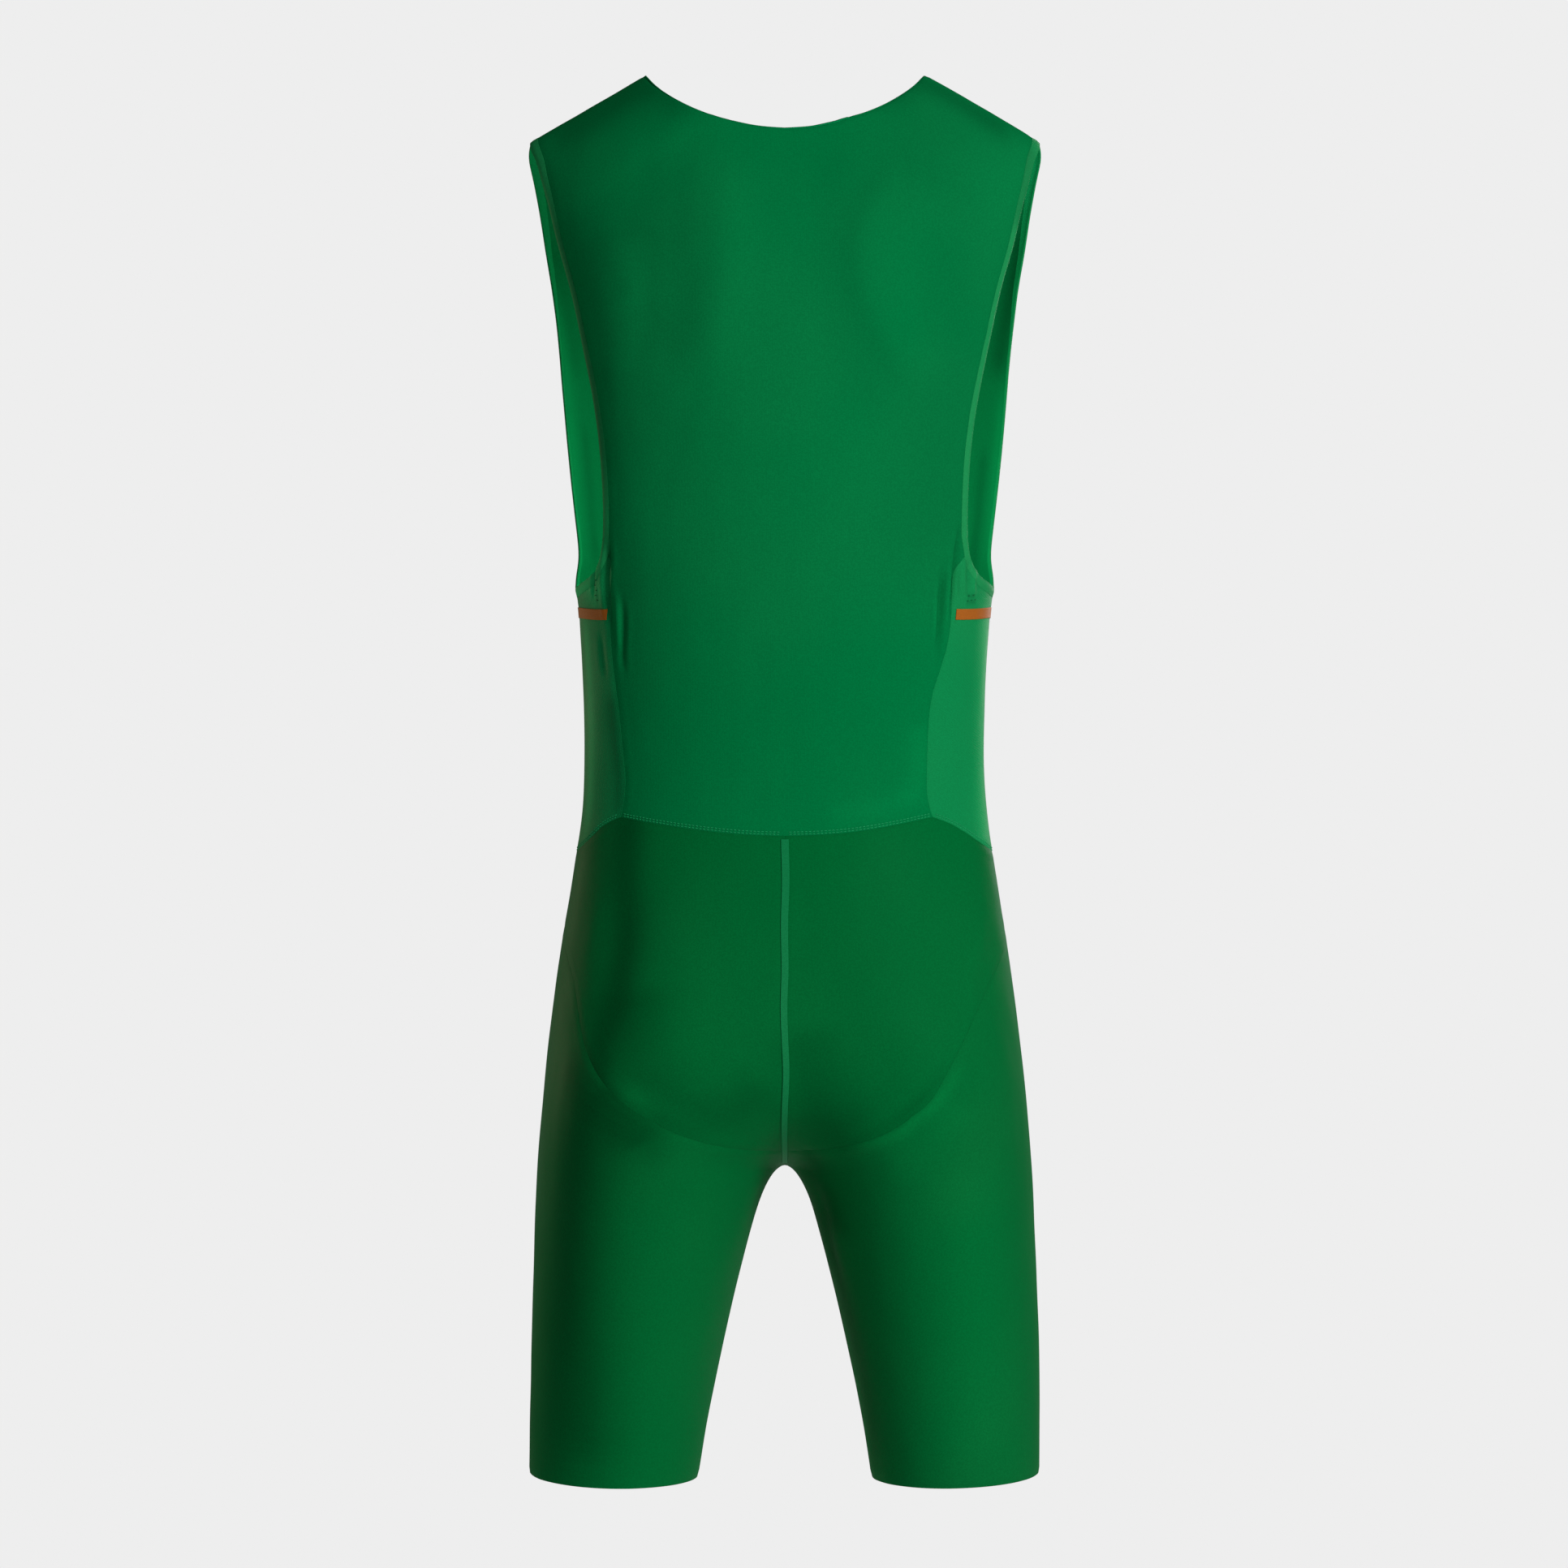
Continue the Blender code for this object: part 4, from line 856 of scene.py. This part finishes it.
def all_grids(side):
    """The grids of places of each piece, by name, for the wearer's left (1) or right (-1) half."""
    back_arm, under_arm, front_arm, band_seam, band_edge = armhole_seams()
    waist_back, waist_side_back, waist_side_front, waist_front = waist_lines(side)
    grids = {"band": (band_seam, band_edge)}

    back_side = spread(places_at(BACK_SIDE_SEAM[side]) + [tuple(back_arm[0])])
    back_side = seam_beside_tape(back_side, 0.0)
    front_side = spread([waist_front[0]] + list(FRONT_SIDE_SEAM) + [tuple(front_arm[0])])
    front_side = seam_beside_tape(front_side, SIDE_TAPE_RISE)
    back_neck = spread(places_at(BACK_NECKLINE[::-1]))
    back_neck = crowded(back_neck, NECK_COLUMNS, NECK_CROWDING)[::-1]
    back_top = np.concatenate((back_neck, shoulder_seam(back_arm[-1], False)[1:]))
    back_centre = centre_rows(0.0, WAIST_BACK[side][0][1], BACK_NECKLINE[0][1])
    back_edge = np.concatenate((back_side, back_arm[1:]))
    grids["upper_back"] = patch(waist_back, back_top, back_centre, back_edge)
    front_neck = spread(places_at(FRONT_NECKLINE[::-1], True))
    front_neck = crowded(front_neck, NECK_COLUMNS, NECK_CROWDING)
    front_top = np.concatenate((shoulder_seam(front_arm[-1], True)[::-1], front_neck[1:]))
    front_centre = centre_rows(2.0, WAIST_FRONT[-1][1], FRONT_NECKLINE[0][1])
    front_edge = np.concatenate((front_side, front_arm[1:]))
    grids["upper_front"] = patch(waist_front, front_top, front_edge, front_centre)
    waist_side = np.concatenate((waist_side_back, waist_side_front[1:]))
    grids["waist_seam"] = [waist_back, waist_side, waist_front]
    grids["side_panel"] = side_panel_grid(waist_side, under_arm, back_side, front_side)

    seat_top = np.concatenate((waist_back, waist_side_back[1:]))
    seat_seam = seat_seam_places(side)
    seat_bottom = even(seat_seam, len(seat_top) - 1)
    seat_centre = even(straight(seat_seam[0], waist_back[0]), SEAT_ROWS)
    seat_side = even(straight(seat_seam[-1], waist_side_back[-1]), SEAT_ROWS)
    grids["seat_panel"] = patch(seat_bottom, seat_top, seat_centre, seat_side)

    hem = hem_line()
    side_mark = int(np.argmin(np.abs(hem[:, 0] - 1.0)))
    hem_back = even(hem[:side_mark + 1], len(seat_bottom) - 1)
    hem_front = even(hem[side_mark:], len(waist_side_front) + len(waist_front) - 2)
    inseam = straight((0.0, CROTCH_Z), (0.0, hem[0][1]))
    inseam = crowded(inseam, LOWER_LEG_ROWS, CROTCH_CROWDING)[::-1]
    under_seat = even(straight((0.0, CROTCH_Z), seat_seam[0]), BACK_LEG_ROWS)
    side_heights = np.concatenate((
        np.linspace(hem[side_mark][1], SIDE_KNOT_Z, LOWER_LEG_ROWS + 1),
        np.linspace(SIDE_KNOT_Z, seat_seam[-1][1], BACK_LEG_ROWS + 1)[1:],
        np.linspace(seat_seam[-1][1], waist_side_back[-1][1], SIDE_LEG_ROWS + 1)[1:]))
    side_line = np.array([(1.0, z) for z in side_heights])
    centre_front = even(straight((2.0, CROTCH_Z), waist_front[-1], 2 * LINE_POINTS),
                        BACK_LEG_ROWS + SIDE_LEG_ROWS)
    back_leg = patch(
        hem_back, seat_bottom, np.concatenate((inseam, under_seat[1:])),
        side_line[:LOWER_LEG_ROWS + BACK_LEG_ROWS + 1], LOWER_LEG_ROWS)
    front_leg = patch(
        hem_front, np.concatenate((waist_side_front, waist_front[1:])), side_line,
        np.concatenate((inseam + np.array((2.0, 0.0)), centre_front[1:])), LOWER_LEG_ROWS)
    grids["leg_panel"] = (back_leg, front_leg)
    return grids


def beside_path(points, row, reach, fade):
    """Numbers of the points near a row's path, their distance from it and how little it fades there."""
    line = surface(spread(places_at(row["path"], row["front"]), PATH_STEPS))
    line = line * np.array((row["side"], 1.0, 1.0))
    reach *= row["width"]
    inside_box = (points > line.min(axis=0) - reach) & (points < line.max(axis=0) + reach)
    near = np.flatnonzero(inside_box.all(axis=1))
    gaps = np.linalg.norm(points[near, None, :] - line[None, :, :], axis=2)
    nearest = gaps.argmin(axis=1)
    along = nearest / (len(line) - 1.0)
    taper = smooth_step(np.minimum(along, 1.0 - along) / fade)
    return near, gaps[np.arange(len(near)), nearest], taper


def fold_heights(points):
    """How far the folds lift or press each point, in millimetres along the cloth's normal."""
    height = np.zeros(len(points))
    for fold in rows_of(FOLDS, FOLD_COLUMNS):
        width = fold["width"]
        near, gap, taper = beside_path(points, fold, FOLD_REACH, FOLD_TAPER)
        across = bump(gap, width) - FOLD_SHOULDER * bump(gap - FOLD_SHOULDER_AT * width, width)
        height[near] -= fold["depth"] * taper * across
    return height


def painted_light_and_shade(points, name):
    """Painted light and shade of the knit at each point of the named cloth, as a factor about 1, with
    painted shade in the folds.
    """
    painted_shading = np.ones(len(points))
    for spot in rows_of(PAINTED_SHADING, PAINTED_SHADING_COLUMNS):
        if name.startswith(spot["cloth"]):
            near, gap, taper = beside_path(points, spot, PAINTED_SHADING_REACH, PAINTED_SHADING_TAPER)
            painted_shading[near] *= 1.0 + spot["painted_shading"] * taper * bump(gap, spot["width"])
    for fold in rows_of(FOLDS, FOLD_COLUMNS):
        near, gap, taper = beside_path(points, fold, PAINTED_SHADING_REACH, FOLD_TAPER)
        shade = FOLD_SHADE * fold["depth"] / fold["width"]
        painted_shading[near] *= 1.0 - shade * taper * bump(gap, fold["width"])
    return painted_shading


def waves(points, size):
    """Smooth noise between about -1 and 1 with bumps of the given size in millimetres."""
    return np.array([noise.noise(Vector(row)) for row in points / np.array(size)]) * NOISE_SWING


def relief(points, seam_gap, edge_gap):
    """Height of the cloth above the plain form at each point, in millimetres."""
    height = fold_heights(points)
    height += WAVE * waves(points, WAVE_SIZE) + RIPPLE * waves(points + RIPPLE_PLACE, RIPPLE_SIZE)
    pucker = 1.0 + PUCKER * waves(points, (PUCKER_STEP,) * 3) / SEAM_HOLLOW
    height -= SEAM_HOLLOW * pucker * bump(seam_gap, SEAM_HOLLOW_WIDTH)
    height += SEAM_RISE * bump(seam_gap - SEAM_RISE_AT, SEAM_RISE_WIDTH)
    height -= EDGE_ROLL * bump(edge_gap, EDGE_ROLL_WIDTH)
    return height


# Meshes

def distances_along(points, axis):
    """Distance of each point of a grid from the first of its row or column."""
    steps = np.linalg.norm(np.diff(points, axis=axis), axis=2)
    start = np.zeros_like(np.take(steps, [0], axis=axis))
    return np.cumsum(np.concatenate((start, steps), axis=axis), axis=axis)


def nearest_gaps(points, marks):
    """Distance from each point to the nearest of some marks, or a long way if there are none."""
    if not len(marks):
        return np.full(len(points), FAR)
    tree = kdtree.KDTree(len(marks))
    for number, mark in enumerate(marks):
        tree.insert(mark, number)
    tree.balance()
    return np.array([tree.find(point)[2] for point in points])


def inset_edges(bm, distance):
    """Draws the sewn and open edges back by a distance within the cloth."""
    shifts = {}
    for vert in bm.verts:
        ways = []
        for edge in vert.link_edges:
            if edge.is_boundary:
                loop = edge.link_loops[0]
                along = loop.link_loop_next.vert.co - loop.vert.co
                ways.append(loop.face.normal.cross(along).normalized())
        if len(ways) == 1:
            shifts[vert] = ways[0] * distance
        elif len(ways) == 2:
            corner = max(1.0 + ways[0].dot(ways[1]), SHARPEST_CORNER)
            shifts[vert] = (ways[0] + ways[1]) * distance / corner
    for vert, shift in shifts.items():
        vert.co += shift


def set_values(mesh, name, values):
    """A named number at each point of a mesh, for its material to read."""
    mesh.attributes.new(name, "FLOAT", "POINT").data.foreach_set("value", values.astype(np.float32))


def add_cloth(name, halves, material, wall=CLOTH, lift=0.0, seams=None, inside=None):
    """One piece of cloth from grids of points, each with its side and a mask of its open edges.

    The grids of a piece are joined where they share points. Its weave map counts metres of cloth. A
    piece that lies on another takes that one's seams, as a list of points. The inner face may have
    a material of its own. Returns the piece and its own seams.
    """
    bm = bmesh.new()
    weave = bm.loops.layers.uv.new("weave")
    open_mark = bm.verts.layers.int.new("open")
    for side, points, mask in halves:
        across = distances_along(points, 1) * MM * side
        upward = distances_along(points, 0) * MM
        rows, columns = points.shape[:2]
        verts = [[bm.verts.new(point) for point in line] for line in points]
        for j, i in zip(*np.nonzero(mask)):
            verts[j][i][open_mark] = 1
        for j in range(rows - 1):
            for i in range(columns - 1):
                corners = ((j, i), (j + 1, i), (j + 1, i + 1), (j, i + 1))[::side]
                face = bm.faces.new([verts[a][b] for a, b in corners])
                for loop, (a, b) in zip(face.loops, corners):
                    loop[weave].uv = across[a, b], upward[a, b]
    bmesh.ops.remove_doubles(bm, verts=bm.verts, dist=SAME_POINT)
    bm.normal_update()
    inset_edges(bm, 0.5 * SEAM_GAP)
    open_edge = [vert.co.copy() for vert in bm.verts if vert[open_mark]]
    bmesh.ops.inset_region(bm, faces=bm.faces, thickness=EDGE_MARGIN, use_boundary=True,
                           use_even_offset=True, use_interpolate=True)
    bm.normal_update()
    bm.verts.index_update()
    points = np.array([vert.co for vert in bm.verts])
    normals = np.array([vert.normal for vert in bm.verts])
    edge_gap = nearest_gaps(points, open_edge)
    own_seams = [vert.co.copy() for vert in bm.verts
                 if vert.is_boundary and edge_gap[vert.index] > EDGE_MARGIN]
    seam_gap = nearest_gaps(points, own_seams if seams is None else seams)
    # Painted shade along the seams and open edges, for the material to read
    seam = bump(np.minimum(seam_gap, edge_gap), SEAM_SHADE_WIDTH)
    # Painted light and shade of the outer and the inner face
    outer_painted_shading, inner_painted_shading = painted_light_and_shade(points, name), painted_light_and_shade(points, "inside_" + name)
    points += normals * (lift + relief(points, seam_gap, edge_gap))[:, None]
    for vert, point in zip(bm.verts, points):
        vert.co = point * MM
    mesh = bpy.data.meshes.new(name)
    bm.to_mesh(mesh)
    bm.free()
    for key, values in (("seam", seam), ("painted_shading", outer_painted_shading), ("inner_painted_shading", inner_painted_shading)):
        set_values(mesh, key, values)
    mesh.shade_smooth()
    piece = add_piece(name, mesh, material)
    solidify = piece.modifiers.new("wall", "SOLIDIFY")
    solidify.thickness = wall * MM
    solidify.offset = 0.0
    if inside:
        mesh.materials.append(inside)
        solidify.material_offset = 1
    return piece, own_seams


def add_object(name, data):
    """An object of the scene made of a mesh, camera or lamp."""
    thing = bpy.data.objects.new(name, data)
    bpy.context.scene.collection.objects.link(thing)
    return thing


def add_piece(name, mesh, material):
    """A piece of the garment in the scene, which rides on its one body."""
    mesh.materials.append(material)
    piece = add_object(name, mesh)
    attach(piece, "root")
    return piece


def half(side, grid, open_row=None, open_columns=slice(None)):
    """Points of a grid on one half of the body, with a mask of the places on its open edge."""
    mask = np.zeros(grid.shape[:2], bool)
    if open_row is not None:
        mask[open_row, open_columns] = True
    return side, surface(grid) * np.array((side, 1.0, 1.0)), mask


def band_grid(seam, edge):
    """Rows of places from the band's seam to its edge, with its ends on the shoulder line."""
    rows = [(1.0 - s) * seam + s * edge for s in np.linspace(0.0, 1.0, BAND_ROWS + 1)]
    seam_x = surface(seam[0])[0]
    for row, s in zip(rows, np.linspace(0.0, 1.0, len(rows))):
        x = (1.0 - s) * seam_x + s * SHOULDER_TIP_X
        row[0], row[-1] = shoulder_place(x), shoulder_place(x, True)
    return np.array(rows)


def back_tape_points():
    """The tape over the centre back seam, slightly wavy, as points from the crotch to the waist."""
    top = WAIST_BACK[1][0][1] - BACK_TAPE_BELOW_WAIST
    bottom = CROTCH_Z + BACK_TAPE_ABOVE_CROTCH
    rows = []
    for z in np.arange(bottom, top, BACK_TAPE_STEP):
        share = (z - bottom) / (top - bottom)
        widening = BACK_TAPE_TOP_HALF_WIDTH - BACK_TAPE_BOTTOM_HALF_WIDTH
        half_width = BACK_TAPE_BOTTOM_HALF_WIDTH + share * widening
        middle = BACK_TAPE_WANDER * noise.noise(Vector((0.0, 0.0, z / BACK_TAPE_WANDER_STEP)))
        xs = middle + half_width * np.linspace(-1.0, 1.0, BACK_TAPE_COLUMNS + 1)
        row = surface([place(abs(x), z) for x in xs])
        row[:, 0] *= np.sign(xs)
        rows.append(row)
    return np.array(rows)


# Sewing

def stitches_along(bm, line, side, offset):
    """Short round stitches at an even step along a line of places, lying on the cloth."""
    marks = even_marks(line, LINE_POINTS)
    line = read(line, marks)
    length = lengths_along(line)[-1]
    count = int((length - 2.0 * STITCH_END_MARGIN) / STITCH_STEP)
    starts = STITCH_END_MARGIN + STITCH_STEP * (np.arange(count) + 0.5)
    places = read(line, starts / length * (len(line) - 1))
    ahead = read(line, (starts + STITCH_AHEAD) / length * (len(line) - 1))
    lay_stitches(bm, places, ahead, side, offset)


def lay_stitches(bm, places, ahead, side, offset):
    """One stitch at each place, pointing to the place ahead of it."""
    mirror = np.array((side, 1.0, 1.0))
    count = len(places)
    points = surface(places) * mirror
    along = surface(ahead) * mirror - points
    along /= np.linalg.norm(along, axis=1)[:, None]
    normals = []
    for spot in places:
        across, upward = directions(spot)
        normal = np.cross(upward, across)
        normals.append(normal / np.linalg.norm(normal))
    normals = np.array(normals) * mirror
    height = relief(points, np.full(count, offset), np.full(count, FAR))
    height = height + 0.5 * CLOTH + STITCH_LIFT * STITCH_RADIUS
    points += normals * height[:, None]
    beside = np.cross(normals, along)
    angles = np.linspace(0.0, 2.0 * math.pi, STITCH_SIDES, endpoint=False)
    for point, way, up, out in zip(points, along, normals, beside):
        rings = []
        for reach, swell in STITCH_SHAPE:
            bend = STITCH_BEND * STITCH_RADIUS * reach ** 2
            middle = point + way * (0.5 * STITCH_LENGTH * reach) - up * bend
            radius = STITCH_RADIUS * swell
            ring = [middle + radius * (math.cos(a) * up + math.sin(a) * out) for a in angles]
            rings.append([bm.verts.new(corner * MM) for corner in ring])
        for low, high in zip(rings, rings[1:]):
            for k in range(STITCH_SIDES):
                bm.faces.new((low[k], low[k - 1], high[k - 1], high[k]))
        bm.faces.new(rings[0])
        bm.faces.new(rings[-1][::-1])


def waist_stitches():
    """Two rows of stitches above the waist seam, all the way round."""
    bm = bmesh.new()
    for side, grids in HALVES:
        for seam in grids["waist_seam"]:
            for offset in STITCH_ROWS:
                seam_line = even(seam, WAIST_STEPS)[::-1]
                start, end = seam_line[0] + (0.0, offset), seam_line[-1] + (0.0, offset)
                stitches_along(bm, move_inward(seam_line, start, end, offset), side, offset)
    return add_stitches("waist_stitches", bm, "thread")


def underarm_stitches(side, word):
    """The few short stitches that close the cloth below an armhole, as x and z on the back."""
    bm = bmesh.new()
    marks = np.array(UNDERARM_STITCHES[side])
    ahead = marks + (STITCH_AHEAD, STITCH_SLOPE * STITCH_AHEAD)
    lay_stitches(bm, np.array(places_at(marks)), np.array(places_at(ahead)), side, FAR)
    return add_stitches("underarm_stitches_" + word, bm, "dark_thread")


def add_stitches(name, bm, material):
    """A piece made of the stitches in a mesh, with the thread's material."""
    bmesh.ops.recalc_face_normals(bm, faces=bm.faces)
    mesh = bpy.data.meshes.new(name)
    bm.to_mesh(mesh)
    bm.free()
    set_values(mesh, "painted_shading", np.ones(len(mesh.vertices)))
    mesh.shade_smooth()
    return add_piece(name, mesh, MATERIALS[material])


# Materials

def new_material(name):
    """A material with its node tree and its shader."""
    material = bpy.data.materials.new(name)
    material.use_nodes = True
    return material, material.node_tree, material.node_tree.nodes["Principled BSDF"]


def set_inputs(tree, node, inputs):
    """Gives the inputs of a node their numbers and colours, or links them to other nodes' outputs."""
    for name, value in inputs.items():
        socket = node.inputs[name]
        if isinstance(value, bpy.types.NodeSocket):
            tree.links.new(value, socket)
        else:
            socket.default_value = (*value, 1.0) if isinstance(value, tuple) else value


def add_node(tree, kind, inputs=None, **settings):
    """A shader node with its settings and its inputs."""
    node = tree.nodes.new(kind)
    for key, value in settings.items():
        setattr(node, key, value)
    set_inputs(tree, node, inputs or {})
    return node


def math_node(tree, operation, first, second=0.0, third=0.0):
    """The result of one sum on numbers or sockets."""
    node = add_node(tree, "ShaderNodeMath", {0: first, 1: second, 2: third}, operation=operation)
    return node.outputs[0]


def mixed(tree, share, first, second):
    """Colour first changed towards second by a share."""
    node = add_node(tree, "ShaderNodeMix", {0: share}, data_type="RGBA")
    set_inputs(tree, node, {6: first, 7: second})
    return node.outputs[2]


def ramp(tree, value, low, high):
    """A value between two limits stretched to run from 0 to 1."""
    node = add_node(
        tree, "ShaderNodeMapRange", {0: value, 1: low, 2: high}, interpolation_type="SMOOTHSTEP")
    return node.outputs[0]


def spots(tree, body, scale, detail, limits):
    """Smooth noise all over the body, stretched between two limits."""
    inputs = {"Vector": body, "Scale": scale, "Detail": detail}
    return ramp(tree, add_node(tree, "ShaderNodeTexNoise", inputs).outputs[0], *limits)


def stripes(tree, weave, direction, step):
    """Soft ridges across the weave map, one for each step in millimetres."""
    inputs = {"Vector": weave, "Scale": 2.0 * math.pi / (RADIANS_OF_WAVE * step * MM)}
    node = add_node(tree, "ShaderNodeTexWave", inputs, bands_direction=direction)
    return node.outputs["Fac"]


def knit_material(name):
    """Knitted cloth: wales and courses on the weave map, mottled yarn, broad clouds, painted shade along
    seams and open edges, and the painted light and shade of each piece.
    """
    knit = dict(zip(KNIT_COLUMNS, KNITS[name]))
    material, tree, shader = new_material(name)
    weave = add_node(tree, "ShaderNodeUVMap", uv_map="weave").outputs[0]
    body = add_node(tree, "ShaderNodeTexCoord").outputs["Object"]
    wale = stripes(tree, weave, "X", knit["wale"])
    course = stripes(tree, weave, "Y", knit["course"])
    loops = math_node(tree, "MULTIPLY", wale, course)
    clouds, specks = spots(tree, body, *CLOUDS), spots(tree, body, *SPECKS)
    seam = add_node(tree, "ShaderNodeAttribute", attribute_name="seam").outputs["Fac"]
    color = mixed(tree, math_node(tree, "MULTIPLY", clouds, CLOUD_SHARE), knit["color"], knit["glow"])
    gaps = math_node(tree, "SUBTRACT", 1.0, loops)
    dark = math_node(tree, "MULTIPLY", math_node(tree, "SUBTRACT", 1.0, specks), SPECK_SHARE)
    dark = math_node(tree, "MULTIPLY_ADD", gaps, LOOP_SHARE, dark)
    # Painted shade along the seams and open edges
    dark = math_node(tree, "MULTIPLY_ADD", seam, SEAM_SHADE_SHARE, dark)
    color = mixed(tree, dark, color, knit["shade"])
    # Painted light and shade of the piece scales the colour
    painted_shading_name = "inner_painted_shading" if name.startswith("inside") else "painted_shading"
    painted_shading = add_node(tree, "ShaderNodeAttribute", attribute_name=painted_shading_name).outputs["Fac"]
    color = add_node(
        tree, "ShaderNodeVectorMath", {0: color, "Scale": painted_shading}, operation="SCALE").outputs["Vector"]
    rough = knit["roughness"] + 0.5 * ROUGHNESS_SPREAD
    rough = math_node(tree, "MULTIPLY_ADD", clouds, -ROUGHNESS_SPREAD, rough)
    rough = math_node(tree, "MULTIPLY_ADD", specks, 0.5 * ROUGHNESS_SPREAD, rough)
    height = math_node(tree, "MULTIPLY_ADD", specks, SPECK_HEIGHT, loops)
    normal = add_node(
        tree, "ShaderNodeBump", {"Height": height, "Strength": knit["bump"], "Distance": BUMP_DISTANCE})
    set_inputs(tree, shader, {
        "Base Color": color, "Roughness": rough, "Normal": normal.outputs[0],
        "Specular IOR Level": knit["gloss"], "Specular Tint": SPECULAR_TINT,
        "Sheen Weight": knit["sheen"], "Sheen Roughness": SHEEN_ROUGHNESS,
        "Sheen Tint": knit["sheen_tint"]})
    return material


# Pieces

MATERIALS = {name: knit_material(name) for name in KNITS}
HALVES = ((1, all_grids(1)), (-1, all_grids(-1)))
NECK_OF_BACK = slice(0, NECK_COLUMNS + 1)
NECK_OF_FRONT = slice(SHOULDER_COLUMNS, None)

upper_back, _ = add_cloth(
    "upper_back_cloth",
    [half(side, grids["upper_back"], -1, NECK_OF_BACK) for side, grids in HALVES],
    MATERIALS["upper_knit"], inside=MATERIALS["inside_knit_painted_light"])
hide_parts("upper_back")
upper_front, _ = add_cloth(
    "upper_front_cloth",
    [half(side, grids["upper_front"], -1, NECK_OF_FRONT) for side, grids in HALVES],
    MATERIALS["upper_knit"], inside=MATERIALS["inside_knit_painted_light"])
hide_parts("upper_front")

bands, side_panels, side_tapes, closings, seat_panels, leg_panels = [], [], [], [], [], []
for side, grids in HALVES:
    word = "left" if side > 0 else "right"
    grid = grids["side_panel"]
    panel, panel_seams = add_cloth(
        "side_panel_cloth_" + word, [half(side, grid)], MATERIALS["side_mesh"])
    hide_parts("side_panel_" + word)
    side_panels.append(panel)
    tape_rows = grid[ROWS_BELOW_TAPE:ROWS_BELOW_TAPE + TAPE_ROWS + 1,
                     SIDE_TAPE_COLUMNS_LEFT_OFF:-SIDE_TAPE_COLUMNS_LEFT_OFF]
    tape, _ = add_cloth(
        "side_tape_cloth_" + word, [half(side, tape_rows)], MATERIALS["side_tape"],
        TAPE_CLOTH, ON_TOP, panel_seams)
    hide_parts("side_tape_" + word)
    side_tapes.append(tape)
    closings.append(underarm_stitches(side, word))
    band, _ = add_cloth(
        "armhole_band_cloth_" + word, [half(side, band_grid(*grids["band"]), -1)], MATERIALS["binding"],
        BAND_CLOTH, inside=MATERIALS["inside_binding_painted_light"])
    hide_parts("armhole_band_" + word)
    bands.append(band)
    seat, _ = add_cloth(
        "seat_panel_cloth_" + word, [half(side, grids["seat_panel"])], MATERIALS["shorts_knit"])
    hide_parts("seat_panel_" + word)
    seat_panels.append(seat)
    leg, _ = add_cloth(
        "leg_panel_cloth_" + word, [half(side, leg_half, 0) for leg_half in grids["leg_panel"]],
        MATERIALS["leg_knit"])
    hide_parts("leg_panel_" + word)
    leg_panels.append(leg)

tape_points = back_tape_points()
back_tape, _ = add_cloth(
    "centre_back_tape_cloth", [(1, tape_points, np.zeros(tape_points.shape[:2], bool))],
    MATERIALS["seam_tape"], TAPE_CLOTH, ON_TOP, [])
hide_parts("centre_back_tape")

stitches = waist_stitches()


# Camera, light and floor

def aim(thing, target):
    """Turns a light or camera to look at a point."""
    thing.rotation_euler = (Vector(target) - thing.location).to_track_quat("-Z", "Y").to_euler()


camera_data = bpy.data.cameras.new("camera")
camera_data.sensor_width = FILM
camera_data.lens = FILM * CAMERA_DISTANCE / PHOTO_WIDTH
camera = add_object("camera", camera_data)
camera.location = (CAMERA_X, CAMERA_DISTANCE, CAMERA_Z)
aim(camera, (CAMERA_X, 0.0, CAMERA_Z))
bpy.context.scene.camera = camera
bpy.context.scene.view_settings.view_transform = "Standard"

for light in rows_of(LIGHTS, LIGHT_COLUMNS):
    lamp_data = bpy.data.lights.new(light["name"], "AREA")
    lamp_data.shape = "RECTANGLE"
    lamp_data.size = light["width"]
    lamp_data.size_y = light["height"]
    lamp_data.energy = light["power"]
    lamp_data.color = light["color"]
    lamp = add_object(light["name"], lamp_data)
    lamp.location = light["place"]
    aim(lamp, light["target"])

world = bpy.data.worlds.new("studio")
bpy.context.scene.world = world
world.use_nodes = True
tree = world.node_tree
tree.nodes.clear()
seen, unseen = (
    add_node(tree, "ShaderNodeBackground", {"Color": WHITE, "Strength": strength}).outputs[0]
    for strength in (BACKDROP, WORLD_LIGHT))
ray = add_node(tree, "ShaderNodeLightPath").outputs["Is Camera Ray"]
shown = add_node(tree, "ShaderNodeMixShader", {0: ray, 1: unseen, 2: seen}).outputs[0]
add_node(tree, "ShaderNodeOutputWorld", {"Surface": shown})

bpy.ops.mesh.primitive_circle_add(
    vertices=FLOOR_CORNERS, radius=FLOOR_RADIUS, fill_type="NGON", location=(0.0, 0.0, FLOOR_Z))
floor = bpy.context.object
floor.name = "floor"
floor_material, floor_tree, floor_shader = new_material("pale_floor")
grain = add_node(floor_tree, "ShaderNodeTexNoise", FLOOR_GRAIN).outputs[0]
set_inputs(floor_tree, floor_shader, {
    "Base Color": mixed(floor_tree, grain, *FLOOR_COLORS), "Roughness": FLOOR_ROUGHNESS})
floor.data.materials.append(floor_material)

bpy.context.view_layer.update()
